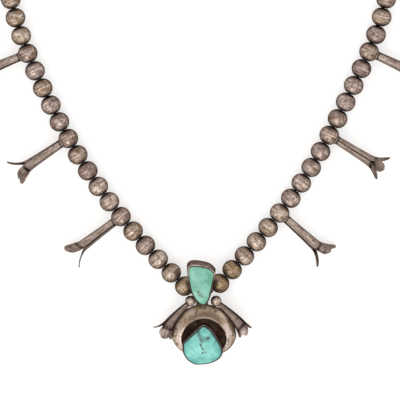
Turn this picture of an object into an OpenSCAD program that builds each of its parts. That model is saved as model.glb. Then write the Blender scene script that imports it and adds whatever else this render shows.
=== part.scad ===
// Squash blossom necklace, lying flat: silver beads and blossoms on a thread, and a crescent
// drop set with two turquoise stones. Millimetres, +Z up, the surface that it lies on at z = 0.
// The origin is the middle of the necklace's outline, on that surface.

/* [Beads] */
// Diameter of a bead across its middle
bead_d = 10.4; // [10.2:0.1:10.8]
// Diameter of the hole drilled through each bead
hole_d = 2.2; // [2:0.1:2.4]
// Distance from bead to bead on the left strand
pitch_left = 10; // [9.9:0.05:10.1]
// Distance from bead to bead on the right strand
pitch_right = 9.8; // [9.7:0.05:9.9]
// Clear space between the flat ends of two beads
bead_gap = 0.4; // [0.3:0.05:0.5]

/* [Thread and clasp] */
// Diameter of the stringing thread
thread_d = 0.9; // [0.8:0.1:1]
// Diameter of the plain barrel clasp
clasp_d = 6.8; // [6:0.1:8]

/* [Blossoms] */
// Reach of the petal tips from the middle of their bead
blossom_reach = 34.2; // [32:0.2:36]
// Radius of the tube where it leaves the bead
stem_r = 2.3; // [2.1:0.1:2.5]
// How much the tube widens before the petals bend out
stem_belly = 1.2; // [0.8:0.1:1.4]
// Width of one petal
petal_w = 5.6; // [5.2:0.1:5.8]
// Thickness of the silver sheet
sheet_t = 0.6; // [0.5:0.1:0.8]

/* [Drop] */
// How far the beads lift the drop's top end, in degrees
drop_tilt = 14; // [14:0.5:16]
// Thickness of the back plate
plate_t = 1; // [0.8:0.1:1.2]
// Height of the lower bezel's rim above the back of the plate
lower_rim_w = 4.4; // [4:0.1:5]
// Height of the upper bezel's rim above the back of the plate
upper_rim_w = 6; // [5.4:0.1:6.4]
// Thickness of a bezel's wall
bezel_t = 0.5; // [0.4:0.05:0.6]
// Clear space between a stone and its bezel
stone_gap = 0.12; // [0.1:0.01:0.2]
// How far the lower stone's dome rises over its rim
lower_dome_h = 3; // [2:0.1:4]
// How far the upper stone's dome rises over its rim
upper_dome_h = 2.2; // [1.6:0.1:3]
// Reach of the side arms' petal tips from the middle of their small ball
arm_reach = 24.2; // [23:0.2:26]

/* [Hidden] */
$fn = 48;

bead_r = bead_d / 2;
hole_r = hole_d / 2;
thread_r = thread_d / 2;
thread_sides = 8;
beads_a_side = 34;

// Where the first bead of each strand lies, measured from the foot of the drop
left_start = [-8.1, 41.8];
right_start = [10.4, 43.3];

// The way each strand turns. Columns: bead number, angle of the strand above the horizontal
LEFT_TURN = [
    [1, 44], [6, 51], [11, 61], [16, 68], [19, 77],
    [22, 98], [25, 123], [28, 146], [31, 165], [34, 179]
];
RIGHT_TURN = [
    [1, 47], [6, 52], [11, 63], [16, 66], [19, 78],
    [22, 101], [25, 124], [28, 145], [31, 162], [34, 178]
];

// The blossoms. Columns: side (-1 left, 1 right), bead number, lean from square to the strand,
// roll of one petal from straight up, radius of the petal tips
BLOSSOMS = [
    [-1, 6, -2, 30, 8.4], [-1, 11, 5, -18, 8.3], [-1, 16, 1, 8, 8.2],
    [-1, 21, 2, 45, 8.0], [-1, 26, -2, -30, 8.2],
    [1, 6, -4, -10, 8.4], [1, 11, -5, 60, 7.6], [1, 16, -1, 15, 8.2],
    [1, 21, 2, -40, 8.1], [1, 26, 1, 25, 8.3]
];
side_col = 0;
bead_col = 1;
lean_col = 2;
roll_col = 3;
flare_col = 4;
// How far the lowest petal stays over the surface
petal_clear = 0.15;
// The collar between bead and tube: how deep it starts in the bead, its length, its spread
// beyond the tube, and where the tube starts in it
collar_in = 0.75;
collar_len = 1.1;
collar_spread = 0.4;
tube_in = 0.5;
// How much rounder a bead is than a ball of its length
bead_round = 0.15;

// Forms of the trumpet that blossoms and side arms share: where along it a section lies
TRUMPET_STEPS = [0, 0.3, 0.55, 0.66, 0.74, 0.81, 0.87, 0.92, 0.96, 1];
flare_start = 0.66;
petals = 3;
// How far inside the flare's rim a petal ends
petal_trim = 0.25;

// Places of the drop, in its own frame: u to the right, v up the plate, w out of its back
drop_x = 2.1;
crescent_v = 15.4;
crescent_end = 142;
// The crescent. Columns: angle from its top, inner radius, outer radius, height of its dome
CRESCENT = [
    [0, 10.5, 18.1, 4], [30, 10.6, 18, 4], [60, 11, 17.5, 3.8], [90, 11.7, 17, 3.5],
    [106, 11.8, 15.7, 2.8], [125, 11.3, 13.8, 1.9], [142, 10.8, 12, 1.5]
];
crescent_edge_w = 1;
// Sections on each side of the top, facets across one, and how full its dome is
crescent_steps = 12;
crescent_facets = 8;
crescent_fullness = 0.8;
// Where the dome is highest: under 1 it lies towards the crescent's inner edge
crescent_lean = 0.33;
// Outer edge of the lower bezel's rim. Columns: u, v
LOWER_RIM = [
    [0, 22.9], [-1.9, 22.1], [-6.4, 17.9], [-10.5, 14],
    [-11.3, 11.6], [-11, 7.4], [-8.9, 3.9], [-5.6, 1.6],
    [-2.6, 1.1], [3, 1.8], [7.1, 3.6], [9.3, 5.9], [9.9, 8.6], [9, 12], [5.9, 17.3], [3, 21.2]
];
// Outer edge of the upper bezel's rim. Columns: u, v
UPPER_RIM = [
    [5.7, 50.9], [5.2, 52.6], [2.6, 54.8], [-1.8, 55.9],
    [-5.9, 56.2], [-8.2, 55], [-8.6, 52.7], [-8.3, 48.6],
    [-7.1, 42.3], [-5.5, 38.4], [-2.9, 35.2], [-0.1, 34],
    [1.8, 35.3], [3.1, 38.1], [4.1, 42.4], [4.9, 46.6]
];
lower_middle = [-0.7, 11];
upper_middle = [-1.5, 46];
// Levels in the drop, each out from the back: the plate, the bezels' feet and their floors
plate_w = 0.15;
foot_w = 0.3;
lower_floor_w = 2.4;
upper_floor_w = 1.5;
plate_r = 12.5;
// The strip that joins the round plate to the upper cup: its lower left corner and its size
strip_corner = [-4.2, 26];
strip_size = [6.4, 13];
// Rings of a stone's dome, as degrees up from its girdle, and how full the dome is
DOME_RINGS = [18, 36, 54, 72, 84];
dome_fullness = 0.75;
// Spread of each bezel's foot beyond its rim, and how far the upper one's foot is set up the plate
lower_spread = 0.3;
upper_spread = 0.5;
upper_foot_shift = 0.8;

// The side arms. Columns: u and v of the ball, angle below the horizontal, roll, side,
// radius of the petal tips
ARMS = [[-7.1, 35.8, 51.5, -8, -1, 6.8], [6.4, 35.8, 48.5, 0, 1, 4.8]];
arm_angle_col = 2;
arm_roll_col = 3;
arm_side_col = 4;
arm_flare_col = 5;
ball_r = 2.9;
arm_w = 2.3;
arm_root_r = 1.5;
arm_belly = 2.6;
arm_petal_w = 6;
arm_in = 0.9;

bail_len = 5.6;
bail_r = 2.1;
bail_x = 0.9;
bail_y = 36.2;
bail_web_w = 2.4;
// Bends of the thread on its way from a bead to the bail, as steps along x and y
thread_dip = [0.9, -1];
thread_sag = [0.3, -0.65];
thread_rise = 0.3;

silver = [0.62, 0.57, 0.52];
dark_silver = [0.45, 0.41, 0.38];
upper_green = [0.49, 0.78, 0.68];
lower_blue = [0.45, 0.84, 0.79];

// Strands

function strand(start, turn, pitch, side) = [
    for (k = 1, p = start; k <= beads_a_side; p = p + pitch * along(turn, side, k + 0.5), k = k + 1) p
];
function along(turn, side, k) = [side * cos(lookup(k, turn)), sin(lookup(k, turn))];

left_beads = strand(left_start, LEFT_TURN, pitch_left, -1);
right_beads = strand(right_start, RIGHT_TURN, pitch_right, 1);

function beads_of(side) = side < 0 ? left_beads : right_beads;
function turn_of(side) = side < 0 ? LEFT_TURN : RIGHT_TURN;
function pitch_of(side) = side < 0 ? pitch_left : pitch_right;
function half_len(side) = (pitch_of(side) - bead_gap) / 2;
// Direction of a bead's hole in plan, in degrees from +X
function hole_angle(side, k) = let (d = along(turn_of(side), side, k)) atan2(d[1], d[0]);
function is_blossom(side, k) =
    len([for (b = BLOSSOMS) if (b[side_col] == side && b[bead_col] == k) b]) > 0;

// How low a petal with this roll reaches under the tube's middle
function petal_drop(roll, tip_r) = (tip_r - petal_w / 2) * max(0, -cos(roll)) + petal_w / 2;
function blossom_drop(b) = max([
    for (i = [0:petals - 1]) petal_drop(b[roll_col] + i * 360 / petals, b[flare_col])
]);
// Rise of the tube that lets its lowest petal just touch the surface
function blossom_rise(b) = let (low = blossom_drop(b), reach = norm([blossom_reach, low]))
    atan2(low, blossom_reach) - asin((bead_r - petal_clear) / reach);
// Direction of the tube in plan: outwards, square to the strand, plus its lean
function blossom_angle(b) = hole_angle(b[side_col], b[bead_col]) - 90 * b[side_col] + b[lean_col];
function blossom_tip(b) = beads_of(b[side_col])[b[bead_col] - 1]
    + blossom_reach * [cos(blossom_angle(b)), sin(blossom_angle(b))];

// Middle of the outline, which the origin stands on
all_x = [for (b = BLOSSOMS) blossom_tip(b)[0]];
top_y = max(left_beads[beads_a_side - 1][1], right_beads[beads_a_side - 1][1]) + bead_r;
foot_y = min([for (p = LOWER_RIM) p[1]]) * cos(drop_tilt) - lower_rim_w * sin(drop_tilt);
middle = [(min(all_x) + max(all_x)) / 2, (top_y + foot_y) / 2];

// The thread bends through the bail between the two lowest beads
bail_point = [bail_x, bail_y];
function leave(side) = beads_of(side)[0] - half_len(side) * along(turn_of(side), side, 1);
function mirrored(side, step) = [-side * step[0], step[1]];
function quarter(side) = let (a = leave(side), b = bail_point + [side * bail_len / 2, thread_rise])
    [a + mirrored(side, thread_dip), (a + b) / 2 + mirrored(side, thread_sag), b];
thread_bend = concat(
    [leave(-1)], quarter(-1), [bail_point], [for (i = [2:-1:0]) quarter(1)[i]], [leave(1)]
);

clasp_ends = [left_beads[beads_a_side - 1], right_beads[beads_a_side - 1]];
clasp_angle = atan2(clasp_ends[1][1] - clasp_ends[0][1], clasp_ends[1][0] - clasp_ends[0][0]);
clasp_middle = (clasp_ends[0] + clasp_ends[1]) / 2;
clasp_len = norm(clasp_ends[1] - clasp_ends[0]) - half_len(-1) - half_len(1) - 2 * bead_gap;
clasp_web = 1.6;
thread_stop = clasp_web / 2 + 0.3;
clasp_dir = [cos(clasp_angle), sin(clasp_angle)];
thread_route = concat(
    [clasp_middle - thread_stop * clasp_dir],
    [for (i = [beads_a_side - 1:-1:0]) left_beads[i]],
    thread_bend,
    right_beads,
    [clasp_middle + thread_stop * clasp_dir]
);

// Outlines and skins

function spline_loop(p, steps) = let (n = len(p)) [
    for (i = [0:n - 1]) for (j = [0:steps - 1])
        let (a = p[(i + n - 1) % n], b = p[i], c = p[(i + 1) % n], d = p[(i + 2) % n], t = j / steps)
        b + t / 2 * (c - a + t * (2 * a - 5 * b + 4 * c - d + t * (3 * b - a - 3 * c + d)))
];
// Moves each point of a counter-clockwise outline inwards by d
function inset(loop, d) = let (n = len(loop)) [
    for (i = [0:n - 1])
        let (e = loop[(i + 1) % n] - loop[(i + n - 1) % n])
        loop[i] + d * [-e[1], e[0]] / norm(e)
];
function scaled(loop, centre, k) = [for (p = loop) centre + k * (p - centre)];
function between(low, high, f) = [for (i = [0:len(low) - 1]) low[i] * (1 - f) + high[i] * f];
function raised(loop, w) = [for (p = loop) [p[0], p[1], w]];

// Closes a stack of rings, each counter-clockwise seen from the last, into one solid
module skin(rings) {
    n = len(rings[0]);
    m = len(rings);
    points = [for (ring = rings) for (p = ring) p];
    first_cap = [for (i = [0:n - 1]) i];
    last_cap = [for (i = [n - 1:-1:0]) (m - 1) * n + i];
    sides = [
        for (j = [0:m - 2]) for (i = [0:n - 1])
            let (a = j * n + i, b = j * n + (i + 1) % n)
            each [[a, a + n, b], [b, a + n, b + n]]
    ];
    polyhedron(points, concat([first_cap], sides, [last_cap]));
}

// Pieces

module place(p) {
    translate([p[0] - middle[0], p[1] - middle[1], bead_r]) children();
}

// One drilled bead, its hole along Z: a ball a little shorter than wide, with flat ends
module bead(half) {
    round_r = half + bead_round;
    rotate_extrude() intersection() {
        translate([bead_r - round_r, 0]) circle(round_r);
        translate([hole_r, -half]) square([bead_d, 2 * half]);
    }
}

module strand_beads(side) {
    color(silver)
    for (k = [1:beads_a_side]) if (!is_blossom(side, k))
        place(beads_of(side)[k - 1]) rotate([0, 90, hole_angle(side, k)]) bead(half_len(side));
}

// Outer radius of a trumpet at the fraction t of its length, and its slope there
function trumpet_r(t, root_r, belly, tip_r) = root_r + belly * pow(t, 1.5)
    + (tip_r - root_r - belly) * pow(max(0, (t - flare_start) / (1 - flare_start)), 2);
function trumpet_slope(t, length, root_r, belly, tip_r) =
    let (h = 0.01)
    (trumpet_r(t + h, root_r, belly, tip_r) - trumpet_r(t - h, root_r, belly, tip_r)) / (2 * h * length);

// A tapered tube along Z whose flared end is cut into three tongue-shaped petals
module trumpet(root_z, tip_z, root_r, belly, tip_r, width) {
    length = tip_z - root_z;
    outer = [for (t = TRUMPET_STEPS) [trumpet_r(t, root_r, belly, tip_r), root_z + t * length]];
    inner = [
        for (i = [len(TRUMPET_STEPS) - 1:-1:0])
            let (t = TRUMPET_STEPS[i], s = trumpet_slope(max(t, 0.01), length, root_r, belly, tip_r))
            [outer[i][0] - sheet_t * sqrt(1 + s * s), outer[i][1]]
    ];
    tongue = tip_r - petal_trim - width / 2;
    intersection() {
        rotate_extrude() polygon(concat(outer, inner));
        translate([0, 0, root_z - 1]) linear_extrude(length + 2)
            for (i = [0:petals - 1]) rotate(i * 360 / petals) {
                translate([0, -width / 2]) square([tongue, width]);
                translate([tongue, 0]) circle(width / 2);
            }
    }
}

// A squash blossom: its bead at its place on the strand, its tube pointing outwards
module blossom(b) {
    side = b[side_col];
    collar_z = bead_r - collar_in;
    color(silver)
    place(beads_of(side)[b[bead_col] - 1]) {
        rotate([0, 90, hole_angle(side, b[bead_col])]) bead(half_len(side));
        rotate([0, 90 - blossom_rise(b), blossom_angle(b)]) {
            translate([0, 0, collar_z]) cylinder(r = stem_r + collar_spread, h = collar_len);
            rotate(180 + b[roll_col])
                trumpet(collar_z + tube_in, blossom_reach, stem_r, stem_belly, b[flare_col], petal_w);
        }
    }
}

module thread() {
    n = len(thread_route);
    rings = [
        for (i = [0:n - 1])
            let (
                d = thread_route[min(i + 1, n - 1)] - thread_route[max(i - 1, 0)],
                across = [-d[1], d[0]] / norm(d),
                p = thread_route[i] - middle
            )
            [
                for (j = [0:thread_sides - 1])
                    let (a = j * 360 / thread_sides, q = p + thread_r * cos(a) * across)
                    [q[0], q[1], bead_r + thread_r * sin(a)]
            ]
    ];
    color("dimgray") skin(rings);
}

// The clasp that the neck hides: one plain barrel, drilled from both ends for the thread
module clasp() {
    rim = 0.8;
    depth = (clasp_len - clasp_web) / 2;
    color(silver)
    place(clasp_middle) rotate([0, 90, clasp_angle]) difference() {
        rotate_extrude() polygon([
            [0, -clasp_len / 2], [clasp_d / 2 - rim, -clasp_len / 2], [clasp_d / 2, -clasp_len / 2 + rim],
            [clasp_d / 2, clasp_len / 2 - rim], [clasp_d / 2 - rim, clasp_len / 2], [0, clasp_len / 2]
        ]);
        for (end = [-1, 1]) rotate([90 - 90 * end, 0, 0]) translate([0, 0, clasp_web / 2])
            cylinder(r = hole_r, h = depth + 1);
    }
}

// The drop

lower_rim = spline_loop(LOWER_RIM, 2);
upper_rim = spline_loop(UPPER_RIM, 2);
lower_foot = inset(lower_rim, -lower_spread);
upper_low_v = min([for (p = UPPER_RIM) p[1]]);
upper_high_v = max([for (p = UPPER_RIM) p[1]]);
upper_foot = [
    for (p = inset(upper_rim, -upper_spread))
        p + [0, upper_foot_shift * (p[1] - upper_low_v) / (upper_high_v - upper_low_v)]
];
drop_z = -min([for (p = lower_foot) p[1]]) * sin(drop_tilt) - foot_w * cos(drop_tilt);

module in_drop_frame() {
    translate([drop_x - middle[0], -middle[1], drop_z]) rotate([drop_tilt, 0, 0]) children();
}

// The bail's place in the drop's own frame, under the thread's lowest point
bail_v = bail_y * cos(drop_tilt) + (bead_r - drop_z) * sin(drop_tilt);
bail_w = (bead_r - drop_z) * cos(drop_tilt) - bail_y * sin(drop_tilt);

function crescent_section(a) = let (
    c = [for (i = [1:3]) lookup(abs(a), [for (row = CRESCENT) [row[0], row[i]]])],
    inner = c[0],
    outer = c[1],
    top = c[2],
    dome = top - crescent_edge_w,
    ridge = [
        for (j = [0:crescent_facets])
            let (f = j / crescent_facets, leaned = pow(f, crescent_lean))
            [inner + f * (outer - inner), crescent_edge_w + dome * pow(sin(180 * leaned), crescent_fullness)]
    ],
    across = concat([[inner, 0]], ridge, [[outer, 0]])
) [for (q = across) [q[0] * sin(a), crescent_v + q[0] * cos(a), q[1]]];

module crescent() {
    step = crescent_end / crescent_steps;
    skin([for (i = [crescent_steps:-1:-crescent_steps]) crescent_section(i * step)]);
}

// A cup with a floor: foot outline, rim outline, then the inside of the rim and of the floor
module cup(foot, rim, rim_w, floor_w) {
    at_floor = between(foot, rim, (floor_w - foot_w) / (rim_w - foot_w));
    skin([
        raised(foot, foot_w),
        raised(rim, rim_w),
        raised(inset(rim, bezel_t), rim_w),
        raised(inset(at_floor, bezel_t), floor_w)
    ]);
}

module stone(foot, rim, rim_w, floor_w, dome_h, centre) {
    base_w = floor_w + stone_gap;
    edge = bezel_t + stone_gap;
    at_base = between(foot, rim, (base_w - foot_w) / (rim_w - foot_w));
    girdle = inset(rim, edge);
    dome = [
        for (a = DOME_RINGS)
            raised(scaled(girdle, centre, pow(cos(a), dome_fullness)), rim_w + dome_h * sin(a))
    ];
    skin(concat([raised(inset(at_base, edge), base_w), raised(girdle, rim_w)], dome));
}

// A side arm: a small ball, and a tube like a blossom's that leaves it along the plate
module arm(row) {
    heading = row[arm_side_col] < 0 ? 180 + row[arm_angle_col] : -row[arm_angle_col];
    translate([row[0], row[1], ball_r]) {
        sphere(ball_r);
        translate([0, 0, arm_w - ball_r]) rotate([0, 90, heading]) rotate(180 + row[arm_roll_col])
            trumpet(ball_r - arm_in, arm_reach, arm_root_r, arm_belly, row[arm_flare_col], arm_petal_w);
    }
}

module back_plate() {
    translate([0, crescent_v, plate_w]) cylinder(r = plate_r, h = plate_t);
    translate([strip_corner[0], strip_corner[1], plate_w]) cube([strip_size[0], strip_size[1], plate_t]);
}

module bail() {
    translate([bail_x - drop_x, bail_v, 0]) difference() {
        union() {
            translate([0, 0, bail_w]) rotate([0, 90, 0]) cylinder(r = bail_r, h = bail_len, center = true);
            translate([-bail_len / 2, -bail_web_w / 2, bail_w])
                cube([bail_len, bail_web_w, plate_t / 2 - bail_w]);
        }
        translate([0, 0, bail_w]) rotate([0, 90, 0]) cylinder(r = hole_r, h = bail_len + 2, center = true);
    }
}

module pendant() {
    color(dark_silver) in_drop_frame() {
        back_plate();
        crescent();
        cup(lower_foot, lower_rim, lower_rim_w, lower_floor_w);
        cup(upper_foot, upper_rim, upper_rim_w, upper_floor_w);
        for (row = ARMS) arm(row);
        bail();
    }
}

module lower_stone() {
    color(lower_blue) in_drop_frame()
        stone(lower_foot, lower_rim, lower_rim_w, lower_floor_w, lower_dome_h, lower_middle);
}

module upper_stone() {
    color(upper_green) in_drop_frame()
        stone(upper_foot, upper_rim, upper_rim_w, upper_floor_w, upper_dome_h, upper_middle);
}

strand_beads(-1);  // beads_left
strand_beads(1);  // beads_right
thread();
clasp();
pendant();
upper_stone();
lower_stone();
for (i = [0:4]) {
    blossom(BLOSSOMS[i]);
    blossom(BLOSSOMS[i + 5]);
}
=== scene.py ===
"""Squash blossom necklace of aged silver and turquoise, lying flat and seen from straight above.

Lengths in the geometry are millimetres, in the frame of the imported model, and become metres
only where a mesh is made. The strand of beads, the blossoms and the drop repeat the named sizes
of the part, so each surface lies where its solid does.
"""

import math

import bpy
import numpy as np
from bpy.props import FloatProperty, FloatVectorProperty, IntProperty, PointerProperty
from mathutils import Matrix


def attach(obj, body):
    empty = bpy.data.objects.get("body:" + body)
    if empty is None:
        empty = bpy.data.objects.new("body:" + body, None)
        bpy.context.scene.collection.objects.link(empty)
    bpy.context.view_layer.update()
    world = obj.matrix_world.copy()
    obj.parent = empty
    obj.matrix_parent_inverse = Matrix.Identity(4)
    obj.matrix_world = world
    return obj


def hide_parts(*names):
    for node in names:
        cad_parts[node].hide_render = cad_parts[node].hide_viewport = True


bl_info = {
    "name": "Squash blossom necklace",
    "version": (1, 0, 0),
    "blender": (4, 5, 0),
    "location": "View3D > Sidebar > Necklace",
    "description": "Silver beads, blossoms and a crescent drop with two turquoise stones",
    "category": "Object",
}

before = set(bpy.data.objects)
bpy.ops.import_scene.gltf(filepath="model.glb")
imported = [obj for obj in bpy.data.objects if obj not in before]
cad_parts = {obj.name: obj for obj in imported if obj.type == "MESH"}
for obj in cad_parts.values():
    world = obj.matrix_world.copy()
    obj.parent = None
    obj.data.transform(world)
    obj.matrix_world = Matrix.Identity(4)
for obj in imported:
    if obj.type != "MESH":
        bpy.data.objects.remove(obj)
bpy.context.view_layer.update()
MM = 0.001
BODY = "root"

# The strands, in the photograph's plane. The foot of the drop is their zero
BEADS_A_SIDE = 34
SIDES = {"left": -1, "right": 1}
START = {-1: (-8.1, 41.8), 1: (10.4, 43.3)}
PITCH = {-1: 10.0, 1: 9.8}
BEAD_GAP = 0.4
# Columns: bead number, angle of the strand above the horizontal
TURN = {
    -1: ((1, 44), (6, 51), (11, 61), (16, 68), (19, 77),
         (22, 98), (25, 123), (28, 146), (31, 165), (34, 179)),
    1: ((1, 47), (6, 52), (11, 63), (16, 66), (19, 78),
        (22, 101), (25, 124), (28, 145), (31, 162), (34, 178)),
}
# Columns: bead number, lean from square to the strand, roll of one petal, radius of the petal
# tips, and how far its highest petal is bent round
BLOSSOMS = {
    -1: ((6, -2, 30, 8.4, -8), (11, 5, -18, 8.3, 0), (16, 1, 8, 8.2, 2), (21, 2, 45, 8.0, -3),
         (26, -2, -30, 8.2, 2)),
    1: ((6, -4, -10, 8.4, -8), (11, -5, 60, 7.6, 0), (16, -1, 15, 8.2, 2), (21, 2, -40, 8.1, 3),
        (26, 1, 25, 8.3, 0)),
}
PETALS = 3
# Height of the lowest petal over the floor, and how much shorter and narrower a petal is than
# its solid
PETAL_CLEAR = 0.15
TIP_SHORT = 0.06
PETAL_NARROW = 0.08
# Share of a trumpet's length where its mouth begins to flare
FLARE_START = 0.66
# Rows along a trumpet's tube and petals, columns across a third of it, and the share of its
# length that each part takes
TUBE_ROWS, PETAL_ROWS, STAVE_COLUMNS = 18, 30, 19
TUBE_SHARE, PETAL_SHARE = 0.7, 0.3
# The filed line along a tube, as a share of the tube's radius away from its middle
FILED_LINE = 0.15
# The collar round a blossom's tube. Columns: radius beyond the tube's, height beyond the bead's
# radius, and how black it is
COLLAR = (
    (-0.5, -0.7, 0.9), (-0.1, -0.65, 0.6), (0.16, -0.45, 0.1), (0.2, -0.3, 0.0), (0.1, -0.18, 0.2),
    (-0.3, -0.1, 1.0), (-0.5, 0.3, 1.0),
)

# How much longer than half a bead the circle of its profile is, and its rows and columns
BEAD_ROUND = 0.15
BEAD_ROWS, BEAD_COLUMNS = 45, 44
# Width of the solder seam, and the place and width of the filed groove on each side of it
SEAM_WIDTH = 0.2
GROOVE_AT, GROOVE_WIDTH = 0.46, 0.16
# How far apart in its grain each bead lies from the next, so that no two have the same marks
GRAIN_STEP = (17.0, 11.0, 23.0)
# On the stretch in front the beads are pushed together on their thread, and show a little wider
# than high: how far each end and each side stands out, how far up the photograph this goes, and
# the length over which it then fades
SNUG = {"end": 0.15, "side": 0.1, "up_to": 193, "over": 12}

# The drop, in its own frame: u to the right, v up the plate, w out of its back
DROP_X = 2.1
DROP_TILT = math.radians(14)
FOOT_W = 0.3
CRESCENT_V = 15.4
CRESCENT_END = 142
# Columns: angle from the crescent's top, inner radius, outer radius, height of its dome
CRESCENT = (
    (0, 10.5, 18.1, 4.0), (30, 10.6, 18.0, 4.0), (60, 11.0, 17.5, 3.8), (90, 11.7, 17.0, 3.5),
    (106, 11.8, 15.7, 2.8), (125, 11.3, 13.8, 1.9), (142, 10.8, 12.0, 1.5),
)
# Height of the crescent's edges, how far its ridge leans inwards, the power that fills its dome,
# and the radius of its middle line
CRESCENT_EDGE_W = 1.0
CRESCENT_LEAN = 0.33
CRESCENT_FULL = 0.8
CRESCENT_R = 14.5
# The crescent's lip: its height, and its place and width across the section
LIP = {"height": 0.12, "at": 0.1, "width": 0.02}
# Outer edges of the bezels' rims. Columns: u, v
LOWER_RIM = (
    (0, 22.9), (-1.9, 22.1), (-6.4, 17.9), (-10.5, 14), (-11.3, 11.6), (-11, 7.4), (-8.9, 3.9),
    (-5.6, 1.6), (-2.6, 1.1), (3, 1.8), (7.1, 3.6), (9.3, 5.9), (9.9, 8.6), (9, 12), (5.9, 17.3),
    (3, 21.2),
)
UPPER_RIM = (
    (5.7, 50.9), (5.2, 52.6), (2.6, 54.8), (-1.8, 55.9), (-5.9, 56.2), (-8.2, 55), (-8.6, 52.7),
    (-8.3, 48.6), (-7.1, 42.3), (-5.5, 38.4), (-2.9, 35.2), (-0.1, 34), (1.8, 35.3), (3.1, 38.1),
    (4.1, 42.4), (4.9, 46.6),
)
# The two settings. Rim height, floor height, foot spread, foot shift up the plate, dome, middle
# of the dome, the two places up the plate between which painted shade on the lip gives way to a
# painted highlight, and how dark the lip is painted above them
LOWER_CUP = {"rim": LOWER_RIM, "rim_w": 4.4, "floor_w": 2.4, "spread": 0.3, "shift": 0.0,
             "dome_h": 3.0, "middle": (-0.7, 11.0), "lip_v": (10, 20), "lip_painted_shade": 0.55}
UPPER_CUP = {"rim": UPPER_RIM, "rim_w": 6.0, "floor_w": 1.5, "spread": 0.5, "shift": 0.8,
             "dome_h": 2.2, "middle": (-1.5, 46.0), "lip_v": (47, 51.5), "lip_painted_shade": 0.0}
BEZEL_T = 0.5
STONE_GAP = 0.12
# Columns: u and v of the ball, angle below the horizontal, roll, side, radius of the petal tips,
# and how far the highest petal is bent round
ARMS = ((-7.1, 35.8, 51.5, -8, -1, 6.8, 10), (6.4, 35.8, 48.5, 0, 1, 4.8, -8))
# Both arms: how deep in its ball a tube starts, its height w, its radius and belly, the width of
# a petal, the sheet and the grooves
ARM = {"inside": 0.9, "w": 2.3, "stem": 1.5, "belly": 2.6, "petal": 5.95, "sheet": 0.6, "groove": 0.4}
BALL_R = 2.9
BAIL = {"x": 0.9, "y": 36.2, "length": 5.6, "radius": 2.1, "web": 2.4}
PLATE_W = 0.15
PLATE_T = 1.0
PLATE_R = 12.5
# The strip from the plate to the upper setting: its middle and its half sizes
STRIP = {"middle": (-1.0, 32.5), "half": (3.15, 6.45)}

# The photograph: its side in pixels, millimetres to a pixel, and the pixels of the drop's middle
# line and foot
PHOTO_SIZE = 400
PHOTO_MM = 0.53
PHOTO_U0 = 200
PHOTO_V0 = 365


def linear(code, alpha=1.0):
    """The linear colour of an sRGB hex code such as #9a8b80."""
    parts = [int(code[i:i + 2], 16) / 255 for i in (1, 3, 5)]
    return tuple(c / 12.92 if c <= 0.04045 else ((c + 0.055) / 1.055) ** 2.4 for c in parts) + (alpha,)


def colour(name, description, code):
    """A colour that a user can change, given by its sRGB hex code."""
    return FloatVectorProperty(name=name, description=description, subtype="COLOR", size=3,
                               min=0, max=1, default=linear(code)[:3])


def length(name, description, mm):
    """A length that a user can change, given in millimetres."""
    return FloatProperty(name=name, description=description, default=mm * MM, min=0,
                         unit="LENGTH", subtype="DISTANCE", precision=5)


class BeadSizes(bpy.types.PropertyGroup):
    """Sizes of the beads, the thread and the clasp."""
    diameter: length("Bead diameter", "Diameter of a bead across its middle", 10.4)
    hole: length("Hole diameter", "Diameter of the hole through each bead", 2.2)
    seam: length("Seam height", "How far the solder seam stands out of a bead", 0.03)
    dent: length("Dent depth", "Depth of the dents left by the stakes that shaped a bead", 0.04)
    thread: length("Thread diameter", "Diameter of the stringing thread", 0.9)
    clasp: length("Clasp diameter", "Diameter of the barrel clasp", 6.8)


class BlossomSizes(bpy.types.PropertyGroup):
    """Sizes of the squash blossoms."""
    reach: length("Reach", "Reach of the petal tips from the middle of their bead", 34.2)
    stem: length("Stem radius", "Radius of the tube where it leaves the bead", 2.3)
    belly: length("Belly", "How much the tube widens before the petals bend out", 1.2)
    petal: length("Petal width", "Width of one petal", 5.6)
    sheet: length("Sheet thickness", "Thickness of the silver sheet", 0.6)
    groove: length("Groove depth", "Depth of the filed groove between two petals", 0.3)


class DropSizes(bpy.types.PropertyGroup):
    """Sizes of the drop."""
    arm_reach: length("Arm reach", "Reach of a side arm's petals from its ball", 24.2)
    arm_bow: length("Arm bow", "How far a side arm bows outwards at its middle", 1.1)
    hammer: length("Hammer marks", "Depth of the hammer marks on the crescent", 0.12)


class FinishColours(bpy.types.PropertyGroup):
    """Colours of the metal, the stones and the thread."""
    silver: colour("Silver", "Worn, polished silver", "#c2b3a9")
    tarnish: colour("Tarnish", "Warm grey-brown tarnish", "#67554b")
    gold_tarnish: colour("Gold tarnish", "Olive-gold tarnish of some beads", "#8d7650")
    violet_tarnish: colour("Violet tarnish", "Purple-grey tarnish of some beads", "#715a5c")
    # This oxide colour also paints the shade on rims, undersides and stone edges
    soot: colour("Oxide", "Black oxide in the recesses", "#22150f")
    green: colour("Green turquoise", "The upper stone", "#41846f")
    green_pale: colour("Pale green turquoise", "Pale parts of the upper stone", "#6ba08f")
    blue: colour("Blue turquoise", "The lower stone", "#368782")
    blue_pale: colour("Pale blue turquoise", "Pale parts of the lower stone", "#66aaa0")
    matrix: colour("Matrix", "Dark grey-green host rock in the stones", "#232824")
    thread: colour("Thread", "Dark waxed thread", "#2a1d17")


class StageLook(bpy.types.PropertyGroup):
    """The floor, the lights and the camera."""
    floor: colour("Floor", "Plain pale floor", "#faf9f8")
    glow: FloatProperty(name="Glow", description="Share of the floor's light that comes up through it",
                        default=0.6, min=0, max=1)
    key: FloatProperty(name="Key light", description="Power of the large light past the drop",
                       default=41, min=0, unit="POWER")
    fill: FloatProperty(name="Fill light", description="Power of the two side lights",
                        default=8.4, min=0, unit="POWER")
    sky: FloatProperty(name="Sky", description="Strength of the plain pale surroundings",
                       default=1.26, min=0)
    camera_height: FloatProperty(name="Camera height", description="Height of the camera over the floor",
                                 default=4.0, min=0.2, unit="LENGTH")


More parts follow.
